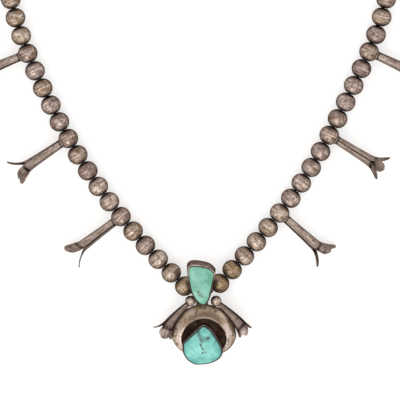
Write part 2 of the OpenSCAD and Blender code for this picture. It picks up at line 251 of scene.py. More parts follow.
class NecklaceSettings(bpy.types.PropertyGroup):
    """All the settings of the necklace."""
    beads: PointerProperty(type=BeadSizes)
    blossoms: PointerProperty(type=BlossomSizes)
    drop: PointerProperty(type=DropSizes)
    finish: PointerProperty(type=FinishColours)
    stage: PointerProperty(type=StageLook)
    seed: IntProperty(name="Seed", description="Seed of the handmade irregularities", default=7)


# Shells: points with faces, and what each point carries


# What each point carries: how black it is from oxide and painted shade, the tone of its tarnish, and its
# wear with painted highlights
VALUES = ("soot", "tone", "polish")
PLACES = ("grain", "brush")


def band(x, middle, width):
    """A soft band: 1 where x is at the middle, falling away as a bell curve of the width."""
    return np.exp(-((x - middle) / width) ** 2)


def round_angles(count):
    """Angles of count points spaced evenly round a circle."""
    return np.arange(count) * 2 * math.pi / count


def shell(points, faces, grain, soot=0.0, tone=0.5, polish=0.5, brush=(0.5, 0.5, 0.5)):
    """A piece of surface: its points, its faces and what each point carries. grain is the place
    in the piece's own frame, and brush the same, shrunk along the way its scratches run. The
    darkening value is how black it is, from oxide and painted shade, tone the colour of its
    tarnish, and the wear value its wear and painted highlights."""
    n = len(points)
    full = [np.broadcast_to(np.asarray(value, float).ravel() if np.ndim(value) else value, n)
            for value in (soot, tone, polish)]
    return {"points": points, "faces": faces, "grain": grain, "brush": grain * np.array(brush),
            "soot": full[0], "tone": full[1], "polish": full[2]}


def join(shells):
    """One shell of several, with the faces numbered on."""
    starts = np.cumsum([0] + [len(s["points"]) for s in shells[:-1]])
    joined = {key: np.concatenate([s[key] for s in shells])
              for key in ("points",) + PLACES + VALUES}
    joined["faces"] = [f + start for s, start in zip(shells, starts) for f in s["faces"]]
    return joined


def weld(piece, tolerance=1e-4):
    """The shell with points at the same place made one, so that seams and poles close."""
    keys = np.round(piece["points"] / tolerance).astype(np.int64)
    _, first, back = np.unique(keys, axis=0, return_index=True, return_inverse=True)
    back = back.ravel()
    welded = {key: piece[key][first] for key in ("points",) + PLACES + VALUES}
    welded["faces"] = [back[f] for f in piece["faces"]]
    return welded


def turned(piece, axes, offset):
    """The shell with its own axes laid along the rows of axes, and moved by offset."""
    moved = dict(piece)
    moved["points"] = piece["points"] @ np.asarray(axes, float) + np.asarray(offset, float)
    return moved


def grid_faces(rows, cols, wrap_rows=False, wrap_cols=False):
    """The four-sided faces of a grid of rows times cols points, wrapped round where asked."""
    i = np.arange(rows if wrap_rows else rows - 1)
    j = np.arange(cols if wrap_cols else cols - 1)
    i, j = np.meshgrid(i, j, indexing="ij")
    k, m = (i + 1) % rows, (j + 1) % cols
    return np.stack([i * cols + j, i * cols + m, k * cols + m, k * cols + j], axis=-1).reshape(-1, 4)


def fan_faces(ring, centre, flip=False):
    """Triangles from each edge of a closed ring of point numbers to the centre point."""
    after = np.roll(ring, -1)
    fan = np.stack([ring, after, np.full_like(ring, centre)], axis=-1)
    return fan[:, ::-1] if flip else fan


def swept_rings(rings, soot=0.0, tone=0.5, polish=0.5, grain=None, brush=(0.5, 0.5, 0.5)):
    """A closed solid of a stack of rings, each counter-clockwise seen from the last, whose ends
    are closed by fans to the middle of the first and the last ring."""
    count, around = rings.shape[:2]
    ends = rings[[0, -1]].mean(axis=1)
    points = np.concatenate([rings.reshape(-1, 3), ends])
    first = np.arange(around)
    faces = [grid_faces(count, around, wrap_cols=True),
             fan_faces(first, count * around, flip=True),
             fan_faces(first + (count - 1) * around, count * around + 1)]
    values = []
    for value in (soot, tone, polish):
        whole = np.broadcast_to(value, (count, around)) if np.ndim(value) < 2 else value
        values.append(np.concatenate([whole.ravel(), whole[0, :1], whole[-1, :1]]))
    return shell(points, faces, points if grain is None else grain, *values, brush=brush)


def outward(piece):
    """The shell turned so that its faces point outwards: its signed volume, the sum over the
    faces of corner one dotted with the cross of the next two, is made positive."""
    p = piece["points"]
    volume = 0.0
    for f in piece["faces"]:
        for k in range(1, f.shape[1] - 1):
            volume += np.einsum("ij,ij->i", p[f[:, 0]], np.cross(p[f[:, k]], p[f[:, k + 1]])).sum()
    if volume < 0:
        piece = dict(piece)
        piece["faces"] = [f[:, ::-1] for f in piece["faces"]]
    return piece


def rim_shaded(piece, depth=0.92):
    """The shell with painted shade, as deep as depth, on what faces sideways or down, so that its
    rims darken as the light falls, and with none where the wear and highlight value is 2. Each
    point's normal is the sum of its faces' cross products."""
    p = piece["points"]
    normal = np.zeros_like(p)
    for f in piece["faces"]:
        cross = np.cross(p[f[:, 2]] - p[f[:, 0]], p[f[:, -1]] - p[f[:, 1]])
        for k in range(f.shape[1]):
            np.add.at(normal, f[:, k], cross)
    up = normal[:, 2] / np.maximum(np.linalg.norm(normal, axis=1), 1e-12)
    # Painted shade grows as a face turns from up to sideways and down
    shade = np.clip((0.72 - up) / 0.6, 0, 1)
    piece = dict(piece)
    piece["soot"] = np.maximum(piece["soot"], depth * shade) * np.clip(2 - piece["polish"], 0, 1)
    return piece


def add_piece(name, piece, material, slot, *nodes):
    """Puts a shell into the scene as one smooth mesh that rides on the body and stands for nodes."""
    mesh = bpy.data.meshes.new(name)
    mesh.vertices.add(len(piece["points"]))
    mesh.vertices.foreach_set("co", (piece["points"] * MM).astype(np.float32).ravel())
    corners = np.concatenate([f.ravel() for f in piece["faces"]])
    totals = np.concatenate([np.full(len(f), f.shape[1]) for f in piece["faces"]])
    starts = np.concatenate([[0], np.cumsum(totals)[:-1]])
    mesh.loops.add(len(corners))
    mesh.loops.foreach_set("vertex_index", corners.astype(np.int32))
    mesh.polygons.add(len(totals))
    mesh.polygons.foreach_set("loop_start", starts.astype(np.int32))
    mesh.polygons.foreach_set("use_smooth", np.ones(len(totals), dtype=bool))
    mesh.update(calc_edges=True)
    mesh.validate()
    for key in VALUES:
        values = mesh.attributes.new(key, "FLOAT", "POINT")
        values.data.foreach_set("value", piece[key].astype(np.float32))
    for key in PLACES:
        places = mesh.attributes.new(key, "FLOAT_VECTOR", "POINT")
        places.data.foreach_set("vector", piece[key].astype(np.float32).ravel())
    mesh.materials.append(material)
    obj = bpy.data.objects.new(name, mesh)
    bpy.context.scene.collection.objects.link(obj)
    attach(obj, BODY)
    if nodes:
        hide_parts(*nodes)
    return obj


# Routes


def along(side, k):
    """Directions of a strand at bead numbers k, from its table of turns."""
    table = np.array(TURN[side], float)
    angle = np.radians(np.interp(k, table[:, 0], table[:, 1]))
    return np.stack([side * np.cos(angle), np.sin(angle)], axis=-1)


def bead_places(side):
    """Middles of a strand's beads: the first one, then a pitch on along the way between two."""
    k = np.arange(1, BEADS_A_SIDE)
    steps = PITCH[side] * along(side, k + 0.5)
    return np.array(START[side]) + np.concatenate([np.zeros((1, 2)), np.cumsum(steps, axis=0)])


def blossom_heading(side, row):
    """Direction of a blossom's tube in plan: outwards, square to the strand, plus its lean."""
    d = along(side, row[0])
    return math.atan2(d[1], d[0]) - side * math.pi / 2 + math.radians(row[1])


def outline_middle(sizes):
    """Middle of the necklace's outline in plan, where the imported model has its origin."""
    reach = sizes.blossoms.reach / MM
    tips = [bead_places(side)[row[0] - 1][0] + reach * math.cos(blossom_heading(side, row))
            for side in BLOSSOMS for row in BLOSSOMS[side]]
    top = max(bead_places(side)[-1][1] for side in BLOSSOMS) + sizes.beads.diameter / MM / 2
    low_v = min(v for _, v in LOWER_RIM)
    foot = low_v * math.cos(DROP_TILT) - LOWER_CUP["rim_w"] * math.sin(DROP_TILT)
    return np.array([(min(tips) + max(tips)) / 2, (top + foot) / 2])


def spline_loop(points, steps):
    """A smooth closed curve through the points: the cubic of Catmull and Rom between each two."""
    p = np.asarray(points, float)
    a, b, c, d = (np.roll(p, shift, axis=0)[:, None, :] for shift in (1, 0, -1, -2))
    t = (np.arange(steps) / steps)[None, :, None]
    curve = b + t / 2 * (c - a + t * (2 * a - 5 * b + 4 * c - d + t * (3 * b - a - 3 * c + d)))
    return curve.reshape(-1, 2)


def inset(loop, distance):
    """A counter-clockwise loop moved inwards by distance, square to its own direction."""
    e = np.roll(loop, -1, axis=0) - np.roll(loop, 1, axis=0)
    inward = np.stack([-e[:, 1], e[:, 0]], axis=-1) / np.linalg.norm(e, axis=1, keepdims=True)
    return loop + distance * inward


def rounded_square(count, power):
    """A loop between a circle and a square: the cosine and the sine, each to a power below 1."""
    a = round_angles(count)
    return np.column_stack([np.sign(wave) * np.abs(wave) ** power for wave in (np.cos(a), np.sin(a))])


def raised(loop, w):
    """A loop of u and v lifted to the height w."""
    return np.column_stack([loop, np.broadcast_to(w, len(loop))])


# Beads


def bead_profile(radius, hole, half):
    """Radii and heights of a bead's profile, a closed loop up its outside and down its hole: the
    circle of the part's profile, cut flat at its ends, with softened lips."""
    ball = half + BEAD_ROUND
    lip = math.asin((half - 0.03) / ball)
    u = np.linspace(-1, 1, BEAD_ROWS)
    theta = lip * (0.3 * u + 0.7 * u ** 3)
    ends_r = np.array([hole + 0.12, hole, hole])
    ends_z = np.array([half, half - 0.12, half - 1.2])
    r = np.concatenate([ends_r[::-1], radius - ball + ball * np.cos(theta), ends_r])
    z = np.concatenate([-ends_z[::-1], ball * np.sin(theta), ends_z])
    return r, z


def bead_shell(sizes, side, places, headings, rng, tones, seam_shine=1.5):
    """All the given beads as one shell. A narrow ridge of solder runs round the middle of each,
    and shallow dents, sums of sines of both angles, cover it. Where the beads are pushed
    together, each is stretched a little endways and sideways."""
    radius = sizes.beads.diameter / MM / 2
    hole = sizes.beads.hole / MM / 2
    seam_h = sizes.beads.seam / MM
    dent = sizes.beads.dent / MM
    half = (PITCH[side] - BEAD_GAP) / 2
    r, z = bead_profile(radius, hole, half)
    rows, cols = len(r), BEAD_COLUMNS
    a = round_angles(cols)
    count = len(places)
    tilt = rng.uniform(0, 2 * math.pi, (count, 8, 1, 1))
    worn_down = rng.uniform(0.0, 0.01, (count, 1, 1))
    seam_at = rng.uniform(-0.25, 0.25, (count, 1, 1))
    zz, aa = z[None, :, None], a[None, None, :]
    # Dents: waves of both angles, each started elsewhere on each bead
    sine = (np.sin(2 * aa + 1.1 * zz + tilt[:, 0]) + np.sin(3 * aa - 0.9 * zz + tilt[:, 1])
            + 0.8 * np.sin(5 * aa + 1.7 * zz + tilt[:, 2]) + 0.6 * np.sin(7 * aa - 2.3 * zz + tilt[:, 3])
            + 0.7 * np.sin(2.9 * zz + 2 * aa + tilt[:, 4]))
    outside = ((r > hole + 0.05) & (np.abs(z) < half))[None, :, None]
    # The solder seam, which wanders a little, and the groove on each side of it
    seam = zz - seam_at - 0.12 * np.sin(aa + tilt[:, 5])
    seam_line = band(seam, 0, SEAM_WIDTH) * np.clip(1.2 + 0.5 * np.sin(aa + tilt[:, 6]), 0, 1)
    groove = band(np.abs(seam), GROOVE_AT, GROOVE_WIDTH)
    low = dent * (0.5 + sine / 8.2) + worn_down
    rr = r[None, :, None] - outside * np.minimum(low, 0.9 * dent + 0.04) + 0 * aa
    rr = rr - outside * seam_h * (1 - seam_line + 0.4 * groove)
    x, y = rr * np.cos(aa), rr * np.sin(aa)
    below_end = SNUG["up_to"] + SNUG["over"] - places[:, 1]
    snug = np.clip(below_end / SNUG["over"], 0, 1)[:, None, None]
    sideways = 1 + SNUG["side"] / radius * snug
    endways = 1 + SNUG["end"] / half * snug
    local = np.stack([x, y * sideways, zz * endways + 0 * rr], axis=-1)
    # Each bead's own axes: X straight up, Z along the thread
    axis = np.stack([np.cos(headings), np.sin(headings), 0 * headings], axis=-1)
    up = np.broadcast_to(np.array([0.0, 0.0, 1.0]), axis.shape)
    frames = np.stack([up, np.cross(axis, up), axis], axis=1)
    middle = outline_middle(sizes)
    centres = np.column_stack([places - middle, np.full(count, radius)])
    points = np.einsum("brcl,blx->brcx", local, frames) + centres[:, None, None, :]
    # Oxide stays near the ends and in the hole, with painted shadow of the next bead reaching
    # further over the end towards the clasp, and the seam is worn bright, less on gold beads
    near_end = np.clip((np.abs(zz) / half - np.where(zz > 0, 0.44, 0.55)) / 0.42, 0, 1) ** 1.3
    soot = np.clip(near_end + 0.3 * groove + 0 * rr + 1.0 * (rr < hole + 0.3), 0, 1)
    worn = np.where(tones > 0.85, 0.5, 1.0)[:, None, None]
    wear = rng.uniform(0.2, 0.55, (count, 1, 1)) * worn
    seam_wear = seam_shine * rng.uniform(0.15, 0.8, (count, 1, 1)) * worn
    polish = np.clip(wear + seam_wear * seam_line + 0.3 * sine / 4, 0, 2)
    grain = local + np.arange(count)[:, None, None, None] * np.array(GRAIN_STEP)
    one = grid_faces(rows, cols, wrap_rows=True, wrap_cols=True)
    faces = (one[None] + (np.arange(count) * rows * cols)[:, None, None]).reshape(-1, 4)
    tone = np.broadcast_to(tones[:, None, None], rr.shape)
    return outward(shell(points.reshape(-1, 3), [faces], grain.reshape(-1, 3), soot, tone, polish,
                         brush=(0.1, 0.1, 0.55)))


def bead_tones(numbers, rng):
    """Tarnish of beads: 0 is violet, 1 is gold, and the beads beside the drop are gold."""
    tones = rng.uniform(-0.15, 0.85, len(numbers))
    near_drop = np.interp(numbers, [1, 4], [0.9, 0])
    return np.clip(tones + near_drop, 0, 1)


# Blossoms


def trumpet_radius(t, root_r, belly, tip_r):
    """Radius of a trumpet at the fraction t of its length: a slow belly, then a square flare."""
    flare = np.clip((t - FLARE_START) / (1 - FLARE_START), 0, None) ** 2
    return root_r + belly * np.clip(t, 0, None) ** 1.5 + (tip_r - root_r - belly) * flare


def stave_spread(tt, r, tip_r, width, blunt):
    """Half the angle that a stave takes up, and how far it has rounded off at its end. It is a
    third of the circle where that is narrower than a petal, and then as wide as the petal."""
    half = width / 2
    rounding = np.clip((r - tip_r + blunt * half) / (blunt * half), 0, 1)
    waist = 0.94 + 0.06 * np.cos(4 * (tt - 1))
    half_now = half * waist * np.sqrt(np.clip(1 - rounding ** 2.6, 0.012, 1))
    return np.minimum(math.pi / PETALS, np.arcsin(np.clip(half_now / r, 0, 1))), rounding


def stave_marks(tt, pp, lined):
    """Marks on a stave, from 0 to 1: its edges, its filed ribs and the crease where its petal
    bends out. A lined stave, on a side arm, has more and softer ribs."""
    edge = band(np.abs(pp), 1, 0.15)
    rib = band(np.abs(pp), 0.42, 0.13) * (1 - lined)
    rib = rib + lined * (0.5 + 0.5 * np.cos(2 * math.pi * (np.abs(pp) - 0.17) / 0.33))
    crease = band(tt - 0.03 * pp, 0.775, 0.03) * np.clip(1 - pp ** 4, 0, 1)
    return edge, rib, crease


def trumpet(root_z, tip_z, root_r, belly, tip_r, width, sheet, groove, rng, bow=0.0, bow_angle=0.0,
            lined=0.0, blunt=0.85, bent=0.0):
    """A tube along Z that widens and opens into three petals. It is made of three staves, a
    third of the circle each: p runs across a stave and t along it. Grooves lie between the
    staves, and the sheet thins towards the petals' edges."""
    petal_run = np.sin(np.linspace(0, 1, PETAL_ROWS)[1:] * math.pi / 2)
    t = np.concatenate([np.linspace(0, TUBE_SHARE, TUBE_ROWS), TUBE_SHARE + PETAL_SHARE * petal_run])
    p = np.sin(np.linspace(-1, 1, STAVE_COLUMNS) * math.pi / 2)
    tt, pp = np.meshgrid(t, p, indexing="ij")
    length_z = tip_z - root_z
    step = 0.004
    r = trumpet_radius(tt, root_r, belly, tip_r)
    slope = (trumpet_radius(tt + step, root_r, belly, tip_r)
             - trumpet_radius(tt - step, root_r, belly, tip_r)) / (2 * step * length_z)
    spread, rounding = stave_spread(tt, r, tip_r, width, blunt)
    # The first row where the petals are apart, and how far each place is petal or tube
    split = int(np.argmax(spread[:, 0] < math.pi / PETALS - 1e-9))
    petal = np.clip((tt - t[split - 1]) / 0.14, 0, 1)
    tube = np.clip((t[split] - tt) / 0.08, 0, 1)
    edge, rib, crease = stave_marks(tt, pp, lined)
    # Grooves are cut into the tube and fade out on the petals
    cut = groove * (0.7 * edge + (0.2 + 0.3 * lined) * rib) * np.clip(0.35 + tt, 0, 1)
    fading = 1 - np.clip((tt - t[split]) / 0.1, 0, 1)
    r_out = r - np.where(tt < t[split], cut, cut[split:split + 1] * fading)
    thin = (1 - 0.5 * np.abs(pp) ** 6 * (1 - tube)) * (1 - 0.25 * rounding ** 2)
    crumple = lined * petal * (0.5 + 0.5 * np.sin(26 * tt + 4 * pp) * np.cos(7 * pp + 9 * tt))
    r_out = r_out - 0.06 * crease - 0.15 * crumple
    r_in = r_out - sheet * thin * np.sqrt(1 + slope ** 2)
    z = root_z + tt * length_z
    # Each stave has an outer and an inner skin, joined along its four edges
    staves = []
    grid = len(t) * len(p)
    index = np.arange(grid).reshape(len(t), len(p))
    for i in range(PETALS):
        wave = rng.uniform(0, 2 * math.pi, 2)
        warp = 0.14 * np.sin(6 * tt + wave[0]) * petal
        a = i * 2 * math.pi / PETALS + pp * spread
        a = a + (0.03 * np.sin(3 * tt + wave[1]) + math.radians((bent, 0, 0)[i])) * petal
        curl = z - 0.4 * petal * pp ** 2
        sides = [np.stack([q * np.cos(a), q * np.sin(a), curl], axis=-1)
                 for q in (r_out - abs(warp), r_in - abs(warp))]
        points = np.concatenate([s.reshape(-1, 3) for s in sides])
        outer = grid_faces(len(t), len(p))
        inner = outer[:, ::-1] + grid
        rims = []
        edges = ((index[-1], 1), (index[0], -1), (index[split - 1:, 0], 1), (index[split - 1:, -1], -1))
        for line, turn in edges:
            rim = np.stack([line[:-1], line[1:], line[1:] + grid, line[:-1] + grid], axis=-1)
            rims.append(rim[:, ::turn])
        # Painted shade on the two staves away from the top one, over oxide in the grooves and ribs
        side_shade = 0.08 if i == 0 else 0.25
        tube_oxide_and_shade = edge * (0.75 + 0.05 * lined) + (0.14 + 0.76 * lined) * rib + side_shade
        petal_soot = (0.15 + 0.65 * lined + 0.35 * np.abs(pp) ** 4) * (1 - crumple) ** 2
        seams = 0.8 * band(tt, 0, 0.012) + (0.75 - 0.5 * lined) * crease
        outside_oxide_and_shade = np.clip(tube_oxide_and_shade * tube + petal_soot * (1 - tube) + seams, 0, 1)
        soot_in = np.clip(1.25 - 1.9 * np.clip((tt - 0.72) / 0.28, 0, 1), 0.28, 1)
        polish = np.clip(0.75 - 0.4 * rib - 0.4 * edge - 0.15 * lined + 0.9 * crumple ** 2, 0, 1.5)
        staves.append(shell(points, [outer, inner] + rims, points, np.stack([outside_oxide_and_shade, soot_in]), 0.35,
                            np.stack([polish, polish * 0.6]), brush=(0.9, 0.9, 0.09)))
    whole = clean(weld(join(staves), 2e-3))
    lift = (whole["points"][:, 2] - root_z) / length_z
    bend = bow * np.sin(np.clip(lift, 0, 1) * math.pi)
    whole["points"] = whole["points"] + np.outer(bend, [math.cos(bow_angle), math.sin(bow_angle), 0])
    return outward(whole)


def clean(piece):
    """The shell without faces whose corners fell together, which become triangles or go."""
    kept = []
    for f in piece["faces"]:
        same = f == np.roll(f, -1, axis=1)
        whole = ~same.any(axis=1)
        kept.append(f[whole])
        if f.shape[1] == 4:
            three = f[same.sum(axis=1) == 1]
            keep = ~same[same.sum(axis=1) == 1]
            if len(three):
                kept.append(three[keep].reshape(-1, 3))
    piece = dict(piece)
    piece["faces"] = [f for f in kept if len(f)]
    return piece


def revolved(profile, around, **values):
    """A closed ring of revolution about Z. Profile columns: radius, z, in a closed loop."""
    q = np.asarray(profile, float)
    a = round_angles(around)
    points = np.stack([np.outer(q[:, 0], np.cos(a)), np.outer(q[:, 0], np.sin(a)),
                       np.outer(q[:, 1], np.ones(around))], axis=-1).reshape(-1, 3)
    faces = grid_faces(len(q), around, wrap_rows=True, wrap_cols=True)
    return outward(shell(points, [faces], points, **values))


def tube_axes(heading, rise, roll):
    """Axes of a tube: its Z along the heading and risen, its X rolled from straight down."""
    ahead = np.array([math.cos(heading), math.sin(heading), 0])
    axis = math.cos(rise) * ahead + [0, 0, math.sin(rise)]
    down = math.sin(rise) * ahead - [0, 0, math.cos(rise)]
    across = np.cross(axis, down)
    turn = math.pi + math.radians(roll)
    return np.array([math.cos(turn) * down + math.sin(turn) * across,
                     -math.sin(turn) * down + math.cos(turn) * across, axis])


def blossom_rise(row, sizes):
    """Rise of a tube that leaves its lowest petal just over the floor."""
    reach, width = sizes.blossoms.reach / MM, sizes.blossoms.petal / MM
    rolls = np.radians(row[2] + np.arange(PETALS) * 360 / PETALS)
    drop = np.max((row[3] - width / 2) * np.clip(-np.cos(rolls), 0, None) + width / 2)
    far = math.hypot(reach, drop)
    return math.atan2(drop, reach) - math.asin((sizes.beads.diameter / MM / 2 - PETAL_CLEAR) / far)


def blossom_shell(sizes, side, row, rng):
    """One squash blossom: its bead, a short collar of solder and wire, and its trumpet. A filed
    line runs along the tube near its middle, and painted shade darkens the tube on the line's lower side."""
    b = sizes.blossoms
    radius = sizes.beads.diameter / MM / 2
    place = bead_places(side)[row[0] - 1]
    d = along(side, row[0])
    heading = np.array([math.atan2(d[1], d[0])])
    bead = bead_shell(sizes, side, place[None], heading, rng, np.array([rng.uniform(0.3, 0.6)]), 2.2)
    stem = b.stem / MM
    start = radius - 0.12
    tube = trumpet(start, b.reach / MM - TIP_SHORT, stem, b.belly / MM, row[3],
                   b.petal / MM - PETAL_NARROW, b.sheet / MM, b.groove / MM, rng, bent=row[4])
    profile = np.array(COLLAR)
    around = 40
    collar = revolved(profile[:, :2] + [stem, radius], around, soot=np.repeat(profile[:, 2], around),
                      tone=0.5, polish=1.3)
    axes = tube_axes(blossom_heading(side, row), blossom_rise(row, sizes), row[2])
    centre = np.append(place - outline_middle(sizes), radius)
    collar, tube = (turned(piece, axes, centre) for piece in (collar, tube))
    # Painted shade on the tube below its filed line, and the line itself dark
    across = (tube["points"] - centre) @ np.array([axes[2][1], -axes[2][0], 0]) * side / stem
    below = np.clip((across - FILED_LINE) / 0.3, 0, 1) * np.clip((1.7 - across) / 0.5, 0, 1)
    filed = 0.32 * below + 0.4 * band(across, FILED_LINE, 0.1)
    tube["soot"] = np.clip(tube["soot"] + filed, 0, 1)
    return join([bead, collar, tube])


# The drop


def drop_frame(sizes):
    """Axes and origin of the drop's own frame, tilted about X with its foot on the floor."""
    middle = outline_middle(sizes)
    foot = inset(spline_loop(LOWER_RIM, 2), -LOWER_CUP["spread"])
    lift = -foot[:, 1].min() * math.sin(DROP_TILT) - FOOT_W * math.cos(DROP_TILT)
    axes = np.array([[1, 0, 0], [0, math.cos(DROP_TILT), math.sin(DROP_TILT)],
                     [0, -math.sin(DROP_TILT), math.cos(DROP_TILT)]])
    return axes, np.array([DROP_X - middle[0], -middle[1], lift])


def crescent_shell(sizes):
    """The domed crescent: a half-round section with a fine lip along its inner edge, carried
    round an arc while its two radii and its height follow the table, and hammered all over."""
    table = np.array(CRESCENT, float)
    angle = np.linspace(-CRESCENT_END, CRESCENT_END, 150)
    inner, outer, top = (np.interp(np.abs(angle), table[:, 0], table[:, i])[:, None] for i in (1, 2, 3))
    f = (0.5 - 0.5 * np.cos(np.linspace(0, 1, 51) * math.pi)) ** 1.8
    bulge = np.sin(math.pi * f ** CRESCENT_LEAN) ** CRESCENT_FULL
    dome = CRESCENT_EDGE_W + (top - CRESCENT_EDGE_W) * bulge
    lip = LIP["height"] * band(f, LIP["at"], LIP["width"])
    a = np.radians(angle)[:, None]
    blows = np.sin(9 * a + 11 * f) * np.sin(7 * f + 5 * a)
    blows = blows + 0.6 * np.sin(23 * a + 3 * f) * np.sin(14 * f - 8 * a)
    dents = sizes.drop.hammer / MM * np.sin(math.pi * f) * (0.5 + 0.5 * blows / 1.6)
    r = inner + f * (outer - inner)
    over = np.stack([r * np.sin(a), CRESCENT_V + r * np.cos(a), dome + lip - dents - 0.02], axis=-1)
    under_f = np.array([0.97, 0.5, 0.03])
    r_under = inner + under_f * (outer - inner)
    under = np.stack([r_under * np.sin(a), CRESCENT_V + r_under * np.cos(a), 0.02 + 0 * r_under], axis=-1)
    rings = np.concatenate([over, under], axis=1)
    limb = np.clip((np.abs(angle[:, None]) - 35) / 45, 0, 1)
    # Darker at the inner and outer edges, with painted shade over the top of the crescent
    over_oxide_and_shade = (np.clip(1.5 * (1 - f / 0.11), 0, 1) + 0.75 * np.clip((f - 0.8) / 0.2, 0, 1)
                 + 0.5 * (1 - limb) * band(f, 0.3, 0.22))
    soot = np.concatenate([np.clip(over_oxide_and_shade, 0, 1) + 0 * r, np.full(r_under.shape, 0.5)], axis=1)
    # Wear, with painted highlights on the limbs, strongest on the right one, on the top's outer slope and
    # along the lip
    lit = 0.65 + 0.85 * np.clip(angle[:, None] / 60, 0, 1)
    highlight_and_wear = (0.2 + lit * limb * band(f, 0.4, 0.26) + 0.15 * (1 - limb) * band(f, 0.7, 0.12)
             + np.clip((LIP["at"] - f) / 0.03, 0, 1)
             + (0.35 + 0.75 * limb) * band(f, LIP["at"] + 0.025, LIP["width"]) + 0 * r)
    polish = np.concatenate([highlight_and_wear, np.full(r_under.shape, 0.2)], axis=1)
    arc = np.broadcast_to(a * CRESCENT_R, rings.shape[:2])
    from_middle = np.hypot(rings[:, :, 0], rings[:, :, 1] - CRESCENT_V)
    grain = np.stack([arc, from_middle, rings[:, :, 2]], axis=-1)
    grain = np.concatenate([grain.reshape(-1, 3), grain[[0, -1], 0]])
    return outward(swept_rings(rings, soot, 0.8, polish, grain=grain, brush=(0.07, 0.45, 0.07)))


def plate_shell():
    """The blackened back plate: a disc with a softly uneven face, in rings about its middle."""
    a = round_angles(64)
    radii = PLATE_R * np.array([0.97, 1.0, 1.0, 0.97, 0.9, 0.8, 0.7, 0.6, 0.5, 0.4, 0.3, 0.2, 0.1, 0.02])
    heights = PLATE_W + np.array([0, 0.1, PLATE_T - 0.1] + [PLATE_T] * 11)
    wave = 0.08 * (np.sin(3 * a[None, :] + radii[:, None]) * np.sin(1.3 * radii[:, None]) - 1)
    w = heights[:, None] + wave * (np.arange(len(radii)) > 3)[:, None]
    rings = np.stack([radii[:, None] * np.cos(a), CRESCENT_V + radii[:, None] * np.sin(a), w], axis=-1)
    return outward(swept_rings(rings, 0.93, 0.3, 0.1))


def strip_shell():
    """The strip that joins the round plate to the upper setting: a rounded bar of sheet."""
    loop = rounded_square(48, 0.35) * STRIP["half"]
    rings = [raised(STRIP["middle"] + k * loop, PLATE_W + w)
             for k, w in ((0.96, 0.01), (1, 0.12), (1, PLATE_T - 0.12), (0.96, PLATE_T - 0.01))]
    return outward(swept_rings(np.array(rings), 0.85, 0.3, 0.15))


def cup_loops(cup, steps):
    """The rim and the foot of a setting: the foot is spread beyond the rim and set up the plate."""
    rim = spline_loop(cup["rim"], steps)
    v = np.array(cup["rim"], float)[:, 1]
    foot = inset(rim, -cup["spread"])
    foot = foot + np.outer(cup["shift"] * (foot[:, 1] - v.min()) / (v.max() - v.min()), [0, 1])
    return rim, foot


def cup_shell(cup, steps=12):
    """A bezel cup: rings up the outside of its wall, over its rounded, slightly wavy rim, down
    the inside, and in over its floor. Wall rings are mixes of the foot and the rim."""
    rim, foot = cup_loops(cup, steps)
    n = len(rim)
    s = round_angles(n)
    wave = 0.06 * (np.sin(5 * s) + 0.7 * np.sin(11 * s + 1) + 0.5 * np.sin(23 * s)) - 0.14
    top = cup["rim_w"] + wave

    def wall(f, d, w):
        """The wall's loop at the fraction f of its height, moved inwards by d, at the height w."""
        return raised(inset(foot * (1 - f) + rim * f, d), w)

    height = top - FOOT_W
    rings = [wall(0, 0.25, FOOT_W), wall(0, 0.02, FOOT_W + 0.1), wall(0.08, 0.05, FOOT_W + 0.08 * height)]
    rings += [wall(f, 0.03 + 0.05 * math.sin(math.pi * f), FOOT_W + f * height)
              for f in (0.3, 0.5, 0.7, 0.9)]
    rings += [wall(1, 0.03, top - 0.18), wall(1, 0.1, top - 0.04), wall(1, BEZEL_T / 2, top),
              wall(1, BEZEL_T - 0.1, top - 0.05), wall(1, BEZEL_T, top - 0.2)]
    floor_f = (cup["floor_w"] - FOOT_W) / (cup["rim_w"] - FOOT_W)
    rings = np.array(rings + [wall(floor_f, BEZEL_T, cup["floor_w"] + 0.05)])
    f = np.clip((rings[:, :, 2] - FOOT_W) / (cup["rim_w"] - FOOT_W), 0, 1)
    soot = np.clip(0.8 - 0.7 * f ** 0.6, 0.1, 1)
    polish = np.clip(0.4 * f ** 4, 0.25, 1)
    # Along the rim, painted shade low on the plate gives way to a painted highlight higher up
    lip = np.interp(rim[:, 1], cup["lip_v"], (0.8, cup["lip_painted_shade"]))
    on_rim, inside = slice(8, 11), slice(11, None)
    soot[on_rim] = lip
    polish[on_rim] = 2 - 2 * lip
    soot[inside] = 1.0
    return outward(swept_rings(rings, soot, 0.05, polish))


def stone_shell(cup, steps=12):
    """A turquoise in its cup: rings from its base to the girdle, then scaled towards the
    middle as cos(a) to the power 0.75 while they rise as sin(a), with a soft uneven skin."""
    rim, foot = cup_loops(cup, steps)
    n = len(rim)
    edge = BEZEL_T + STONE_GAP
    base_w = cup["floor_w"] + STONE_GAP
    floor_f = (base_w - FOOT_W) / (cup["rim_w"] - FOOT_W)
    base = inset(foot * (1 - floor_f) + rim * floor_f, edge)
    girdle = inset(rim, edge)
    middle = np.array(cup["middle"], float)
    rings = [raised(middle + k * (base - middle), base_w + w) for k, w in ((0.96, 0.01), (0.99, 0.1))]
    rings.append(raised(girdle, cup["rim_w"] - 0.35))
    s = round_angles(n)
    for a in np.radians([6, 14, 22, 30, 38, 46, 54, 62, 70, 77, 83, 87.5]):
        k = math.cos(a) ** 0.75
        dip = 0.07 * (1 + np.sin(3 * s + 2 * a) * math.cos(a) + 0.5 * np.sin(5 * s + 1)) * math.sin(2 * a)
        height = cup["rim_w"] - 0.02 + cup["dome_h"] * math.sin(a) - dip
        rings.append(raised(middle + k * (girdle - middle), height))
    rings = np.array(rings)
    # Painted shade darkens the stone's lowest rings, where it meets its bezel
    edge_shade = np.repeat(np.clip(2.5 - 0.5 * np.arange(len(rings)), 0, 1)[:, None], n, axis=1)
    return outward(swept_rings(rings, edge_shade, 0.5, 0.5))


